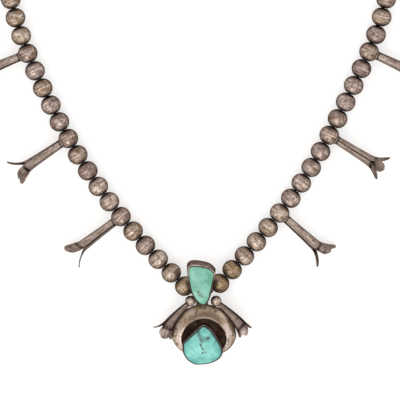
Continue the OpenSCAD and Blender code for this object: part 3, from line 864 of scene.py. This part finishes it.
def ball_shell(centre, radius, tone):
    """A small soldered ball, of rings of latitude from its lowest point to its top."""
    latitude = np.radians(np.linspace(-88, 88, 23))[:, None]
    a = round_angles(32)[None, :]
    dent = 1 - 0.012 * (1 + np.sin(3 * a + 2 * latitude) * np.sin(2 * a - 5 * latitude))
    level = radius * dent * np.cos(latitude)
    height = radius * 0.997 * np.sin(latitude) + 0 * a
    rings = np.stack([level * np.cos(a), level * np.sin(a), height], axis=-1)
    patch = 1.2 * np.clip(np.sin(2 * a + 0.6) * np.cos(3 * latitude + a) - 0.1, 0, 1)
    patch = patch + 0.8 * np.clip(np.sin(5 * a + 2 * latitude) * np.sin(6 * latitude - 2 * a) - 0.2, 0, 1)
    # Painted shade darkens the ball's lower half, over dark patches of tarnish
    soot = np.clip(0.65 - np.sin(latitude) * 1.1 + patch, 0, 1)
    return turned(outward(swept_rings(rings, soot, tone, 0.55)), np.eye(3), centre)


def arm_shell(sizes, row, rng):
    """A side arm: its ball, and a bowed trumpet that leaves it along the plate."""
    u, v, below, roll, side, flare, bent = row
    reach = sizes.drop.arm_reach / MM
    slope = math.radians(below)
    axes = tube_axes(math.pi + slope if side < 0 else -slope, 0, roll)
    outwards = np.array([side * math.sin(slope), math.cos(slope), 0])
    bow_angle = math.atan2(float(axes[1] @ outwards), float(axes[0] @ outwards))
    tube = trumpet(BALL_R - ARM["inside"], reach, ARM["stem"], ARM["belly"], flare, ARM["petal"],
                   ARM["sheet"], ARM["groove"], rng, bow=sizes.drop.arm_bow / MM, bow_angle=bow_angle,
                   lined=1.0, blunt=0.5, bent=bent)
    return join([ball_shell((u, v, BALL_R), BALL_R, 0.55), turned(tube, axes, (u, v, ARM["w"]))])


def bail_shell(sizes):
    """The bail behind the drop: a tube across the plate on a short web of sheet."""
    _, origin = drop_frame(sizes)
    radius = sizes.beads.diameter / MM / 2
    lift = radius - origin[2]
    v = BAIL["y"] * math.cos(DROP_TILT) + lift * math.sin(DROP_TILT)
    w = lift * math.cos(DROP_TILT) - BAIL["y"] * math.sin(DROP_TILT)
    half, outer, inner = BAIL["length"] / 2, BAIL["radius"], sizes.beads.hole / MM / 2
    soft = 0.15
    profile = [(inner, -half + soft), (inner + soft, -half), (outer - soft, -half), (outer, -half + soft),
               (outer, half - soft), (outer - soft, half), (inner + soft, half), (inner, half - soft)]
    tube = revolved(profile, 40, soot=0.5, tone=0.4, polish=0.3)
    u = BAIL["x"] - DROP_X
    tube = turned(tube, [[0, 0, 1], [0, 1, 0], [-1, 0, 0]], (u, v, w))
    loop = rounded_square(40, 0.3) * (half, BAIL["web"] / 2)
    rings = [raised((u, v) + k * loop, z)
             for k, z in ((0.95, w + 1.3), (0.98, w + 1.5), (0.98, 0.2), (0.95, 0.4))]
    return join([tube, outward(swept_rings(np.array(rings), 0.6, 0.4, 0.2))])


def thread_route(sizes):
    """The thread's points in plan: out of the clasp, down the left strand, through the bail,
    up the right strand and into the clasp again, repeated from the part."""
    left, right = bead_places(-1), bead_places(1)
    ends = right[-1] - left[-1]
    clasp_dir = ends / np.linalg.norm(ends)
    clasp_middle = (left[-1] + right[-1]) / 2
    bail = np.array([BAIL["x"], BAIL["y"]])

    def bend(side, first):
        """The thread from a strand's first bead down to the bail's end."""
        leave = first - (PITCH[side] - BEAD_GAP) / 2 * along(side, 1)
        mouth = bail + [side * BAIL["length"] / 2, 0.3]
        return [leave, leave + [-side * 0.9, -1.0], (leave + mouth) / 2 + [-side * 0.3, -0.65], mouth]

    stop = 1.1 * clasp_dir
    points = [clasp_middle - stop] + list(left[::-1]) + bend(-1, left[0]) + [bail]
    points += bend(1, right[0])[::-1] + list(right) + [clasp_middle + stop]
    return np.array(points) - outline_middle(sizes), clasp_middle - outline_middle(sizes), clasp_dir


def thread_shell(sizes):
    """The stringing thread: a ring of ten points carried along its route, with three strands
    that show as a shallow wave round the ring."""
    route, _, _ = thread_route(sizes)
    fine = np.concatenate([route[:-1] + f * np.diff(route, axis=0) for f in (0, 0.25, 0.5, 0.75)], axis=1)
    fine = np.concatenate([fine.reshape(-1, 2), route[-1:]])
    d = np.gradient(fine, axis=0)
    across = np.stack([-d[:, 1], d[:, 0]], axis=-1) / np.linalg.norm(d, axis=1, keepdims=True)
    a = round_angles(10)
    run = np.concatenate([[0], np.cumsum(np.linalg.norm(np.diff(fine, axis=0), axis=1))])
    r = sizes.beads.thread / MM / 2 * (0.94 + 0.05 * np.sin(3 * a[None, :] + 2.2 * run[:, None]))
    plan = fine[:, None, :] + (r * np.cos(a))[..., None] * across[:, None, :]
    rings = np.concatenate([plan, (sizes.beads.diameter / MM / 2 + r * np.sin(a))[..., None]], axis=-1)
    grain = np.stack([np.broadcast_to(np.cos(a), r.shape), np.broadcast_to(np.sin(a), r.shape),
                      np.broadcast_to(run[:, None], r.shape)], axis=-1).reshape(-1, 3)
    return outward(swept_rings(rings, 0.2, 0.5, 0.3, grain=np.concatenate([grain, grain[[0, -1]]])))


def clasp_shell(sizes):
    """The barrel clasp: a profile turned about its length, with a bead of wire at each end, a
    joint round its middle and blind holes for the thread."""
    _, middle, direction = thread_route(sizes)
    left, right = bead_places(-1)[-1], bead_places(1)[-1]
    half = (np.linalg.norm(right - left) - sum((PITCH[s] - BEAD_GAP) / 2 for s in PITCH)) / 2 - BEAD_GAP
    radius, hole = sizes.beads.clasp / MM / 2, sizes.beads.hole / MM / 2
    upper = np.array([
        (0.05, 0.8), (hole, 0.8), (hole, half - 0.15), (hole + 0.15, half), (radius - 0.8, half),
        (radius - 0.5, half - 0.1), (radius - 0.05, half - 0.7), (radius - 0.05, half - 1.1),
        (radius - 0.4, half - 1.35), (radius - 0.12, half - 1.8), (radius, half * 0.45),
        (radius, 0.3), (radius - 0.16, 0.12),
    ])
    profile = np.concatenate([upper, (upper * [1, -1])[::-1]])
    soot = np.where((profile[:, 0] < radius - 0.3) | (np.abs(profile[:, 1]) < 0.2), 0.75, 0.1)
    around = 56
    piece = revolved(profile, around, soot=np.repeat(soot, around), tone=0.4, polish=0.6)
    axes = [[0, 0, 1], [direction[1], -direction[0], 0], [direction[0], direction[1], 0]]
    return turned(piece, axes, (middle[0], middle[1], sizes.beads.diameter / MM / 2))


# Materials


def add_node(tree, kind, inputs=None, **settings):
    """Adds a node to a tree, sets its settings, and links or fills its inputs."""
    made = tree.nodes.new(kind)
    for key, value in settings.items():
        setattr(made, key, value)
    for key, value in (inputs or {}).items():
        if isinstance(value, bpy.types.NodeSocket):
            tree.links.new(value, made.inputs[key])
        else:
            made.inputs[key].default_value = value
    return made


def new_material(name):
    """An empty material with its output, and its tree."""
    material = bpy.data.materials.new(name)
    material.use_nodes = True
    material.node_tree.nodes.clear()
    return material, material.node_tree


def rgba(value):
    """A property's colour with full alpha."""
    return tuple(value) + (1.0,)


def aged_silver(name, finish, scratch_scale, blotch_scale, fleck_scale, bump_mm):
    """Coin silver, raised from sheet, soldered, blackened with oxide and worn bright again on
    its high places. The eye sees warm grey-brown metal, soft gloss, black recesses, and fine
    scratches that run one way. The darkening value carries painted shade as well as oxide, and
    the wear value painted highlights as well as wear. Patterns are in millimetres of the grain
    attribute. Real scratches are finer than a pixel, so they are drawn as coarse as they need to show."""
    material, tree = new_material(name)
    grain, brush = (add_node(tree, "ShaderNodeAttribute", attribute_name=key).outputs["Vector"]
                    for key in PLACES)
    soot, tone, polish = (add_node(tree, "ShaderNodeAttribute", attribute_name=key).outputs["Fac"]
                          for key in VALUES)
    blotch = add_node(tree, "ShaderNodeTexNoise",
                      {"Vector": grain, "Scale": blotch_scale, "Detail": 4.0, "Roughness": 0.6})
    fleck = add_node(tree, "ShaderNodeTexNoise",
                     {"Vector": grain, "Scale": fleck_scale, "Detail": 3.0, "Roughness": 0.6})
    patch = add_node(tree, "ShaderNodeMapRange",
                     {"Value": fleck.outputs["Fac"], "From Min": 0.3, "From Max": 0.7,
                      "To Min": -0.7, "To Max": 0.7})
    hue = add_node(tree, "ShaderNodeMath", {0: tone, 1: patch.outputs["Result"]},
                   operation="ADD", use_clamp=True)
    scratch = add_node(tree, "ShaderNodeTexNoise",
                       {"Vector": brush, "Scale": scratch_scale, "Detail": 4.0, "Roughness": 0.72})
    warm = add_node(tree, "ShaderNodeMix",
                    {"Factor": hue.outputs[0], "A": rgba(finish.violet_tarnish),
                     "B": rgba(finish.gold_tarnish)}, data_type="RGBA")
    film = add_node(tree, "ShaderNodeMix",
                    {"Factor": 0.2, "A": warm.outputs["Result"], "B": rgba(finish.tarnish)},
                    data_type="RGBA")
    worn = add_node(tree, "ShaderNodeMapRange",
                    {"Value": blotch.outputs["Fac"], "From Min": 0.42, "From Max": 0.6, "To Max": 0.75})
    rubbed = add_node(tree, "ShaderNodeMapRange",
                      {"Value": scratch.outputs["Fac"], "From Min": 0.50, "From Max": 0.38, "To Max": 1.0})
    worn_lines = add_node(tree, "ShaderNodeMath",
                          {0: worn.outputs["Result"], 1: rubbed.outputs["Result"]},
                          operation="ADD")
    # Wear and painted highlights lift the metal towards bright silver
    bright = add_node(tree, "ShaderNodeMath", {0: worn_lines.outputs[0], 1: polish}, operation="MULTIPLY")
    lifted = add_node(tree, "ShaderNodeMath", {0: polish, 1: 0.45, 2: bright.outputs[0]},
                      operation="MULTIPLY_ADD", use_clamp=True)
    metal = add_node(tree, "ShaderNodeMix",
                     {"Factor": lifted.outputs[0], "A": film.outputs["Result"], "B": rgba(finish.silver)},
                     data_type="RGBA")
    spots = add_node(tree, "ShaderNodeMapRange",
                     {"Value": fleck.outputs["Fac"], "From Min": 0.5, "From Max": 0.63, "To Max": 0.66})
    lines = add_node(tree, "ShaderNodeMapRange",
                     {"Value": scratch.outputs["Fac"], "From Min": 0.53, "From Max": 0.66, "To Max": 0.62})
    dirt = add_node(tree, "ShaderNodeMath", {0: spots.outputs["Result"], 1: lines.outputs["Result"]},
                    operation="MAXIMUM")
    ragged = add_node(tree, "ShaderNodeMath", {0: blotch.outputs["Fac"], 1: 0.9, 2: 0.55},
                      operation="MULTIPLY_ADD")
    # Oxide and painted shade, broken up by the blotches
    ragged_oxide_and_shade = add_node(tree, "ShaderNodeMath", {0: soot, 1: ragged.outputs[0]},
                      operation="MULTIPLY", use_clamp=True)
    black = add_node(tree, "ShaderNodeMath", {0: ragged_oxide_and_shade.outputs[0], 1: dirt.outputs[0]},
                     operation="MAXIMUM", use_clamp=True)
    base = add_node(tree, "ShaderNodeMix",
                    {"Factor": black.outputs[0], "A": metal.outputs["Result"], "B": rgba(finish.soot)},
                    data_type="RGBA")
    rough = add_node(tree, "ShaderNodeMapRange",
                     {"Value": black.outputs[0], "To Min": 0.36, "To Max": 0.6})
    height = add_node(tree, "ShaderNodeMath", {0: scratch.outputs["Fac"], 1: fleck.outputs["Fac"]},
                      operation="ADD")
    bump = add_node(tree, "ShaderNodeBump",
                    {"Height": height.outputs[0], "Strength": 0.8, "Distance": bump_mm * MM})
    shader = add_node(tree, "ShaderNodeBsdfPrincipled",
                      {"Base Color": base.outputs["Result"], "Metallic": 0.94,
                       "Roughness": rough.outputs["Result"], "Specular Tint": linear("#9a8c80"),
                       "Normal": bump.outputs["Normal"]})
    add_node(tree, "ShaderNodeOutputMaterial", {"Surface": shader.outputs["BSDF"]})
    return material


# Marks in the stones. Columns: u and v of both ends, half width, all in millimetres, and depth
LOWER_VEINS = (
    (-3.4, 20.6, -2.5, 17.9, 0.8, 0.6), (-2.5, 17.9, -1.5, 15.7, 0.85, 0.66),
    (-0.9, 15.9, 1.3, 15.8, 1.3, 0.42), (1.9, 16.3, 2.3, 16.5, 0.7, 0.97),
    (-1.5, 15.2, -0.9, 14.6, 0.6, 0.8), (-2.0, 13.3, -1.6, 12.4, 0.46, 0.97),
    (-1.6, 12.4, -0.9, 11.0, 0.2, 0.75), (-0.8, 11.0, -0.4, 10.3, 0.42, 0.97),
    (-0.9, 8.8, -0.6, 8.4, 0.42, 0.97), (0.6, 9.0, 0.9, 8.8, 0.34, 0.9),
    (6.6, 15.4, 5.4, 12.6, 0.18, 0.75), (-7.4, 8.6, -5.6, 6.2, 0.16, 0.5),
    (-1.2, 6.4, -0.9, 4.2, 0.18, 0.5), (-4.6, 12.6, -3.6, 12.2, 0.4, 0.2),
    (3.4, 8.4, 4.6, 7.2, 0.7, 0.18),
)
UPPER_VEINS = (
    (-3.0, 42.2, -2.2, 40.2, 0.9, 0.45), (-2.2, 40.2, -1.2, 39.5, 0.7, 0.6),
    (-1.2, 39.2, 0.5, 39.0, 0.3, 0.7), (-3.4, 42.4, -3.0, 41.0, 0.3, 0.7),
    (-1.4, 41.6, -0.4, 40.4, 0.5, 0.3), (0.2, 48.6, 1.4, 47.4, 0.6, 0.2),
    (-3.8, 52.2, -1.4, 51.4, 0.6, 0.18), (-4.6, 47.0, -3.9, 45.0, 0.6, 0.14),
    (-1.8, 44.6, -1.4, 43.4, 0.4, 0.16),
)


def vein_mask(tree, place, veins):
    """How deep in a vein each place is. For each vein, the nearest point of its line is found by
    the clamped fraction of the place's run along it, and the distance to it fades the vein out."""
    deepest = None
    for u0, v0, u1, v1, half, depth in veins:
        run = (u1 - u0, v1 - v0, 0.0)
        square = run[0] ** 2 + run[1] ** 2
        start = add_node(tree, "ShaderNodeVectorMath", {0: place, 1: (u0, v0, 0.0)}, operation="SUBTRACT")
        dot = add_node(tree, "ShaderNodeVectorMath",
                       {0: start.outputs[0], 1: tuple(c / square for c in run)},
                       operation="DOT_PRODUCT")
        part = add_node(tree, "ShaderNodeClamp", {"Value": dot.outputs["Value"]})
        nearest = add_node(tree, "ShaderNodeVectorMath", {0: run, 3: part.outputs[0]}, operation="SCALE")
        apart = add_node(tree, "ShaderNodeVectorMath", {0: start.outputs[0], 1: nearest.outputs[0]},
                         operation="DISTANCE")
        fade = add_node(tree, "ShaderNodeMapRange",
                        {"Value": apart.outputs["Value"], "From Min": half * 0.5, "From Max": half * 1.6,
                         "To Min": depth, "To Max": 0.0}, interpolation_type="SMOOTHSTEP")
        if deepest is None:
            deepest = fade.outputs[0]
        else:
            deepest = add_node(tree, "ShaderNodeMath", {0: deepest, 1: fade.outputs[0]},
                               operation="MAXIMUM").outputs[0]
    return deepest


def turquoise(name, base_colour, pale_colour, finish, veins):
    """Turquoise, cut as a low cabochon and polished. The eye sees a waxy stone of two close
    colours in soft clouds, with dark host rock in its cracks. Clouds are 3 to 8 mm across."""
    material, tree = new_material(name)
    grain = add_node(tree, "ShaderNodeAttribute", attribute_name="grain").outputs["Vector"]
    flat = add_node(tree, "ShaderNodeVectorMath", {0: grain, 1: (1.0, 1.0, 0.0)}, operation="MULTIPLY")
    ragged = add_node(tree, "ShaderNodeTexNoise",
                      {"Vector": grain, "Scale": 1.1, "Detail": 4.0, "Roughness": 0.7})
    shift = add_node(tree, "ShaderNodeVectorMath", {0: ragged.outputs["Color"], 1: (0.5, 0.5, 0.5)},
                     operation="SUBTRACT")
    shifted = add_node(tree, "ShaderNodeVectorMath",
                       {0: shift.outputs[0], 1: (1.0, 1.0, 0.0), 2: flat.outputs[0]},
                       operation="MULTIPLY_ADD")
    mask = vein_mask(tree, shifted.outputs[0], veins)
    cloud = add_node(tree, "ShaderNodeTexNoise",
                     {"Vector": grain, "Scale": 0.16, "Detail": 5.0, "Roughness": 0.55})
    drift = add_node(tree, "ShaderNodeMapRange",
                     {"Value": cloud.outputs["Fac"], "From Min": 0.36, "From Max": 0.62})
    body = add_node(tree, "ShaderNodeMix",
                    {"Factor": drift.outputs["Result"], "A": rgba(base_colour), "B": rgba(pale_colour)},
                    data_type="RGBA")
    speck = add_node(tree, "ShaderNodeTexNoise",
                     {"Vector": grain, "Scale": 0.9, "Detail": 5.0, "Roughness": 0.7})
    haze = add_node(tree, "ShaderNodeMapRange",
                    {"Value": speck.outputs["Fac"], "From Min": 0.6, "From Max": 0.8, "To Max": 0.22})
    rock = add_node(tree, "ShaderNodeMath", {0: mask, 1: haze.outputs["Result"]}, operation="MAXIMUM")
    veined = add_node(tree, "ShaderNodeMix",
                      {"Factor": rock.outputs[0], "A": body.outputs["Result"], "B": rgba(finish.matrix)},
                      data_type="RGBA")
    # The stone's edge takes painted shade from the darkening value
    edge = add_node(tree, "ShaderNodeAttribute", attribute_name="soot").outputs["Fac"]
    base = add_node(tree, "ShaderNodeMix",
                    {"Factor": edge, "A": veined.outputs["Result"], "B": rgba(finish.soot)},
                    data_type="RGBA")
    rough = add_node(tree, "ShaderNodeMapRange",
                     {"Value": rock.outputs[0], "To Min": 0.34, "To Max": 0.6})
    bump = add_node(tree, "ShaderNodeBump",
                    {"Height": rock.outputs[0], "Strength": 0.3, "Distance": 0.2 * MM},
                    invert=True)
    shader = add_node(tree, "ShaderNodeBsdfPrincipled",
                      {"Base Color": base.outputs["Result"], "Roughness": rough.outputs["Result"],
                       "IOR": 1.61, "Normal": bump.outputs["Normal"]})
    add_node(tree, "ShaderNodeOutputMaterial", {"Surface": shader.outputs["BSDF"]})
    return material


def waxed_thread(finish):
    """Cotton thread, laid in three strands and waxed. The eye sees a dark cord with a twist
    every 2.9 mm and a dull sheen. The grain holds the angle round it and the run along it."""
    material, tree = new_material("waxed_cotton_thread")
    grain = add_node(tree, "ShaderNodeAttribute", attribute_name="grain").outputs["Vector"]
    fibre = add_node(tree, "ShaderNodeTexNoise", {"Vector": grain, "Scale": 3.5, "Detail": 4.0})
    shade = add_node(tree, "ShaderNodeMapRange",
                     {"Value": fibre.outputs["Fac"], "To Min": 0.6, "To Max": 1.6})
    base = add_node(tree, "ShaderNodeVectorMath", {0: tuple(finish.thread), 3: shade.outputs["Result"]},
                    operation="SCALE")
    bump = add_node(tree, "ShaderNodeBump",
                    {"Height": fibre.outputs["Fac"], "Strength": 0.5, "Distance": 0.1 * MM})
    shader = add_node(tree, "ShaderNodeBsdfPrincipled",
                      {"Base Color": base.outputs[0], "Roughness": 0.7, "Normal": bump.outputs["Normal"]})
    add_node(tree, "ShaderNodeOutputMaterial", {"Surface": shader.outputs["BSDF"]})
    return material


def plain_floor(look):
    """A sheet of matt white paper under the necklace. Its tooth is drawn 3 mm wide, coarser than
    the real one, so that it shows. The sheet lies on a light table, whose glow keeps the shadows
    beside the beads pale."""
    material, tree = new_material("matt_white_paper")
    place = add_node(tree, "ShaderNodeTexCoord").outputs["Object"]
    tooth = add_node(tree, "ShaderNodeTexNoise", {"Vector": place, "Scale": 300.0, "Detail": 2.0})
    bump = add_node(tree, "ShaderNodeBump",
                    {"Height": tooth.outputs["Fac"], "Strength": 0.05, "Distance": 0.2 * MM})
    paper = tuple((1 - look.glow) * channel for channel in look.floor)
    shader = add_node(tree, "ShaderNodeBsdfPrincipled",
                      {"Base Color": rgba(paper), "Roughness": 0.9, "Normal": bump.outputs["Normal"],
                       "Emission Color": rgba(look.floor), "Emission Strength": look.glow})
    add_node(tree, "ShaderNodeOutputMaterial", {"Surface": shader.outputs["BSDF"]})
    return material


# Columns: material, then scratches, blotches and flecks to the millimetre, and depth of the bumps
SILVERS = {
    "beads": ("raised_silver_beads", 1.7, 0.34, 0.85, 0.22),
    "blossoms": ("filed_silver_blossoms", 1.7, 0.3, 0.8, 0.2),
    "drop": ("hammered_silver_drop", 1.3, 0.15, 0.4, 0.16),
}


def silver(kind):
    """The aged silver of a kind of piece, made once. Beads are scratched round their hole, tubes
    along their length, the crescent along its arc, and the rest of the drop at random."""
    name, *sizes = SILVERS[kind]
    if name in bpy.data.materials:
        return bpy.data.materials[name]
    return aged_silver(name, bpy.context.scene.necklace.finish, *sizes)


# Stage


# Side of the floor in metres
FLOOR_SIDE = 3.0
# Columns: name, place and size in metres, which setting of the stage is its power
LIGHTS = (
    ("key", (-0.4, -1.5, 1.6), 2.8, "key"), ("left", (-1.9, 0.6, 1.5), 1.6, "fill"),
    ("right", (1.9, 0.4, 1.5), 1.6, "fill"),
)


def floor_mesh(look):
    """The floor: one square face round the origin."""
    half = FLOOR_SIDE / 2
    corners = [(x * half, y * half, 0) for x, y in ((-1, -1), (1, -1), (1, 1), (-1, 1))]
    mesh = bpy.data.meshes.new("floor")
    mesh.from_pydata(corners, [], [(0, 1, 2, 3)])
    mesh.materials.append(plain_floor(look))
    return mesh


def aimed_light(name, place, size, power, aim):
    """A square lamp at a place, turned towards the point aim."""
    lamp = bpy.data.lights.new(name, "AREA")
    lamp.size = size
    lamp.energy = power
    light = bpy.data.objects.new(name, lamp)
    light.location = place
    away = np.array(place) - aim
    light.rotation_euler = (math.acos(away[2] / np.linalg.norm(away)), 0,
                            math.atan2(away[1], away[0]) + math.pi / 2)
    return light


# Operators


class NECKLACE_OT_stage(bpy.types.Operator):
    """Lays out the pale floor, the soft lights and the camera straight above"""
    bl_idname = "necklace.stage"
    bl_label = "Stage"

    def execute(self, context):
        look = context.scene.necklace.stage
        floor = bpy.data.objects.new("floor", floor_mesh(look))
        context.scene.collection.objects.link(floor)
        middle = outline_middle(context.scene.necklace)
        centre = PHOTO_SIZE / 2
        aim_x = ((centre - PHOTO_U0) * PHOTO_MM - middle[0]) * MM
        aim_y = ((PHOTO_V0 - centre) * PHOTO_MM - middle[1]) * MM
        lens = bpy.data.cameras.new("camera")
        camera = bpy.data.objects.new("camera", lens)
        camera.location = (aim_x, aim_y, look.camera_height)
        bead_height = context.scene.necklace.beads.diameter / 2
        lens.lens = lens.sensor_width * (look.camera_height - bead_height) / (PHOTO_SIZE * PHOTO_MM * MM)
        lens.clip_end = 20
        context.scene.collection.objects.link(camera)
        context.scene.camera = camera
        for name, place, size, setting in LIGHTS:
            light = aimed_light(name, place, size, getattr(look, setting), (aim_x, aim_y, 0))
            context.scene.collection.objects.link(light)
        world = bpy.data.worlds.new("sky")
        world.use_nodes = True
        background = world.node_tree.nodes["Background"].inputs
        background["Color"].default_value = linear("#f2efec")
        background["Strength"].default_value = look.sky
        context.scene.world = world
        context.scene.view_settings.view_transform = "Standard"
        return {"FINISHED"}


class NECKLACE_OT_beads(bpy.types.Operator):
    """Makes the plain silver beads of both strands"""
    bl_idname = "necklace.beads"
    bl_label = "Beads"

    def execute(self, context):
        sizes = context.scene.necklace
        for name, side in SIDES.items():
            rng = np.random.default_rng(sizes.seed + side)
            with_blossom = [row[0] for row in BLOSSOMS[side]]
            numbers = np.array([k for k in range(1, BEADS_A_SIDE + 1) if k not in with_blossom])
            d = along(side, numbers)
            headings = np.arctan2(d[:, 1], d[:, 0])
            tones = bead_tones(numbers, rng)
            piece = bead_shell(sizes, side, bead_places(side)[numbers - 1], headings, rng, tones)
            add_piece(f"silver_beads_{name}", rim_shaded(piece), silver("beads"), "aged_silver",
                      f"beads_{name}")
        return {"FINISHED"}


class NECKLACE_OT_blossoms(bpy.types.Operator):
    """Makes the ten squash blossoms with their beads"""
    bl_idname = "necklace.blossoms"
    bl_label = "Blossoms"

    def execute(self, context):
        sizes = context.scene.necklace
        for name, side in SIDES.items():
            for i, row in enumerate(BLOSSOMS[side], 1):
                rng = np.random.default_rng(sizes.seed + 100 + 10 * i + side)
                piece = rim_shaded(blossom_shell(sizes, side, row, rng))
                add_piece(f"squash_blossom_{name}_{i}", piece, silver("blossoms"), "aged_silver",
                          f"blossom_{name}_{i}")
        return {"FINISHED"}


class NECKLACE_OT_thread(bpy.types.Operator):
    """Makes the stringing thread"""
    bl_idname = "necklace.thread"
    bl_label = "Thread"

    def execute(self, context):
        sizes = context.scene.necklace
        add_piece("stringing_thread", thread_shell(sizes), waxed_thread(sizes.finish), "thread", "thread")
        return {"FINISHED"}


class NECKLACE_OT_clasp(bpy.types.Operator):
    """Makes the barrel clasp at the back of the neck"""
    bl_idname = "necklace.clasp"
    bl_label = "Clasp"

    def execute(self, context):
        sizes = context.scene.necklace
        add_piece("barrel_clasp", rim_shaded(clasp_shell(sizes)), silver("beads"), "aged_silver", "clasp")
        return {"FINISHED"}


class NECKLACE_OT_drop(bpy.types.Operator):
    """Makes the soldered silver of the drop: plate, crescent, settings, balls, arms and bail"""
    bl_idname = "necklace.drop"
    bl_label = "Drop"

    def execute(self, context):
        sizes = context.scene.necklace
        rng = np.random.default_rng(sizes.seed + 50)
        axes, origin = drop_frame(sizes)
        shells = [plate_shell(), strip_shell(), crescent_shell(sizes), bail_shell(sizes)]
        shells += [arm_shell(sizes, row, rng) for row in ARMS]
        cups = [cup_shell(LOWER_CUP), cup_shell(UPPER_CUP)]
        piece = join([rim_shaded(turned(join(shells), axes, origin)),
                      rim_shaded(turned(join(cups), axes, origin), 0.35)])
        add_piece("silver_drop", piece, silver("drop"), "aged_silver", "pendant")
        return {"FINISHED"}


class NECKLACE_OT_stones(bpy.types.Operator):
    """Makes the two turquoise stones"""
    bl_idname = "necklace.stones"
    bl_label = "Stones"

    def execute(self, context):
        sizes = context.scene.necklace
        finish = sizes.finish
        axes, origin = drop_frame(sizes)
        stones = (("lower", "blue", LOWER_CUP, LOWER_VEINS), ("upper", "green", UPPER_CUP, UPPER_VEINS))
        for place, hue, cup, veins in stones:
            material = turquoise(f"{hue}_turquoise_cabochon", getattr(finish, hue),
                                 getattr(finish, f"{hue}_pale"), finish, veins)
            add_piece(f"{place}_turquoise", turned(stone_shell(cup), axes, origin), material,
                      f"{hue}_turquoise", f"{place}_stone")
        return {"FINISHED"}


STEPS = (NECKLACE_OT_stage, NECKLACE_OT_beads, NECKLACE_OT_blossoms, NECKLACE_OT_thread,
         NECKLACE_OT_clasp, NECKLACE_OT_drop, NECKLACE_OT_stones)


class NECKLACE_PT_panel(bpy.types.Panel):
    """Lists the settings and the steps of the necklace"""
    bl_idname = "NECKLACE_PT_panel"
    bl_label = "Squash blossom necklace"
    bl_space_type = "VIEW_3D"
    bl_region_type = "UI"
    bl_category = "Necklace"

    def draw(self, context):
        settings = context.scene.necklace
        for group in (settings.beads, settings.blossoms, settings.drop, settings.finish, settings.stage):
            box = self.layout.box()
            for key in group.bl_rna.properties.keys():
                if key not in ("rna_type", "name"):
                    box.prop(group, key)
        for step in STEPS:
            self.layout.operator(step.bl_idname)


GROUPS = (BeadSizes, BlossomSizes, DropSizes, FinishColours, StageLook, NecklaceSettings)
CLASSES = GROUPS + STEPS + (NECKLACE_PT_panel,)


def register():
    """Registers the classes and the settings."""
    for item in CLASSES:
        bpy.utils.register_class(item)
    bpy.types.Scene.necklace = PointerProperty(type=NecklaceSettings)


def unregister():
    """Takes the settings and the classes away again."""
    del bpy.types.Scene.necklace
    for item in reversed(CLASSES):
        bpy.utils.unregister_class(item)


def main():
    """Makes every piece in order."""
    register()
    bpy.ops.necklace.stage()
    bpy.ops.necklace.beads()
    bpy.ops.necklace.blossoms()
    bpy.ops.necklace.thread()
    bpy.ops.necklace.clasp()
    bpy.ops.necklace.drop()
    bpy.ops.necklace.stones()


if __name__ == "__main__":
    main()
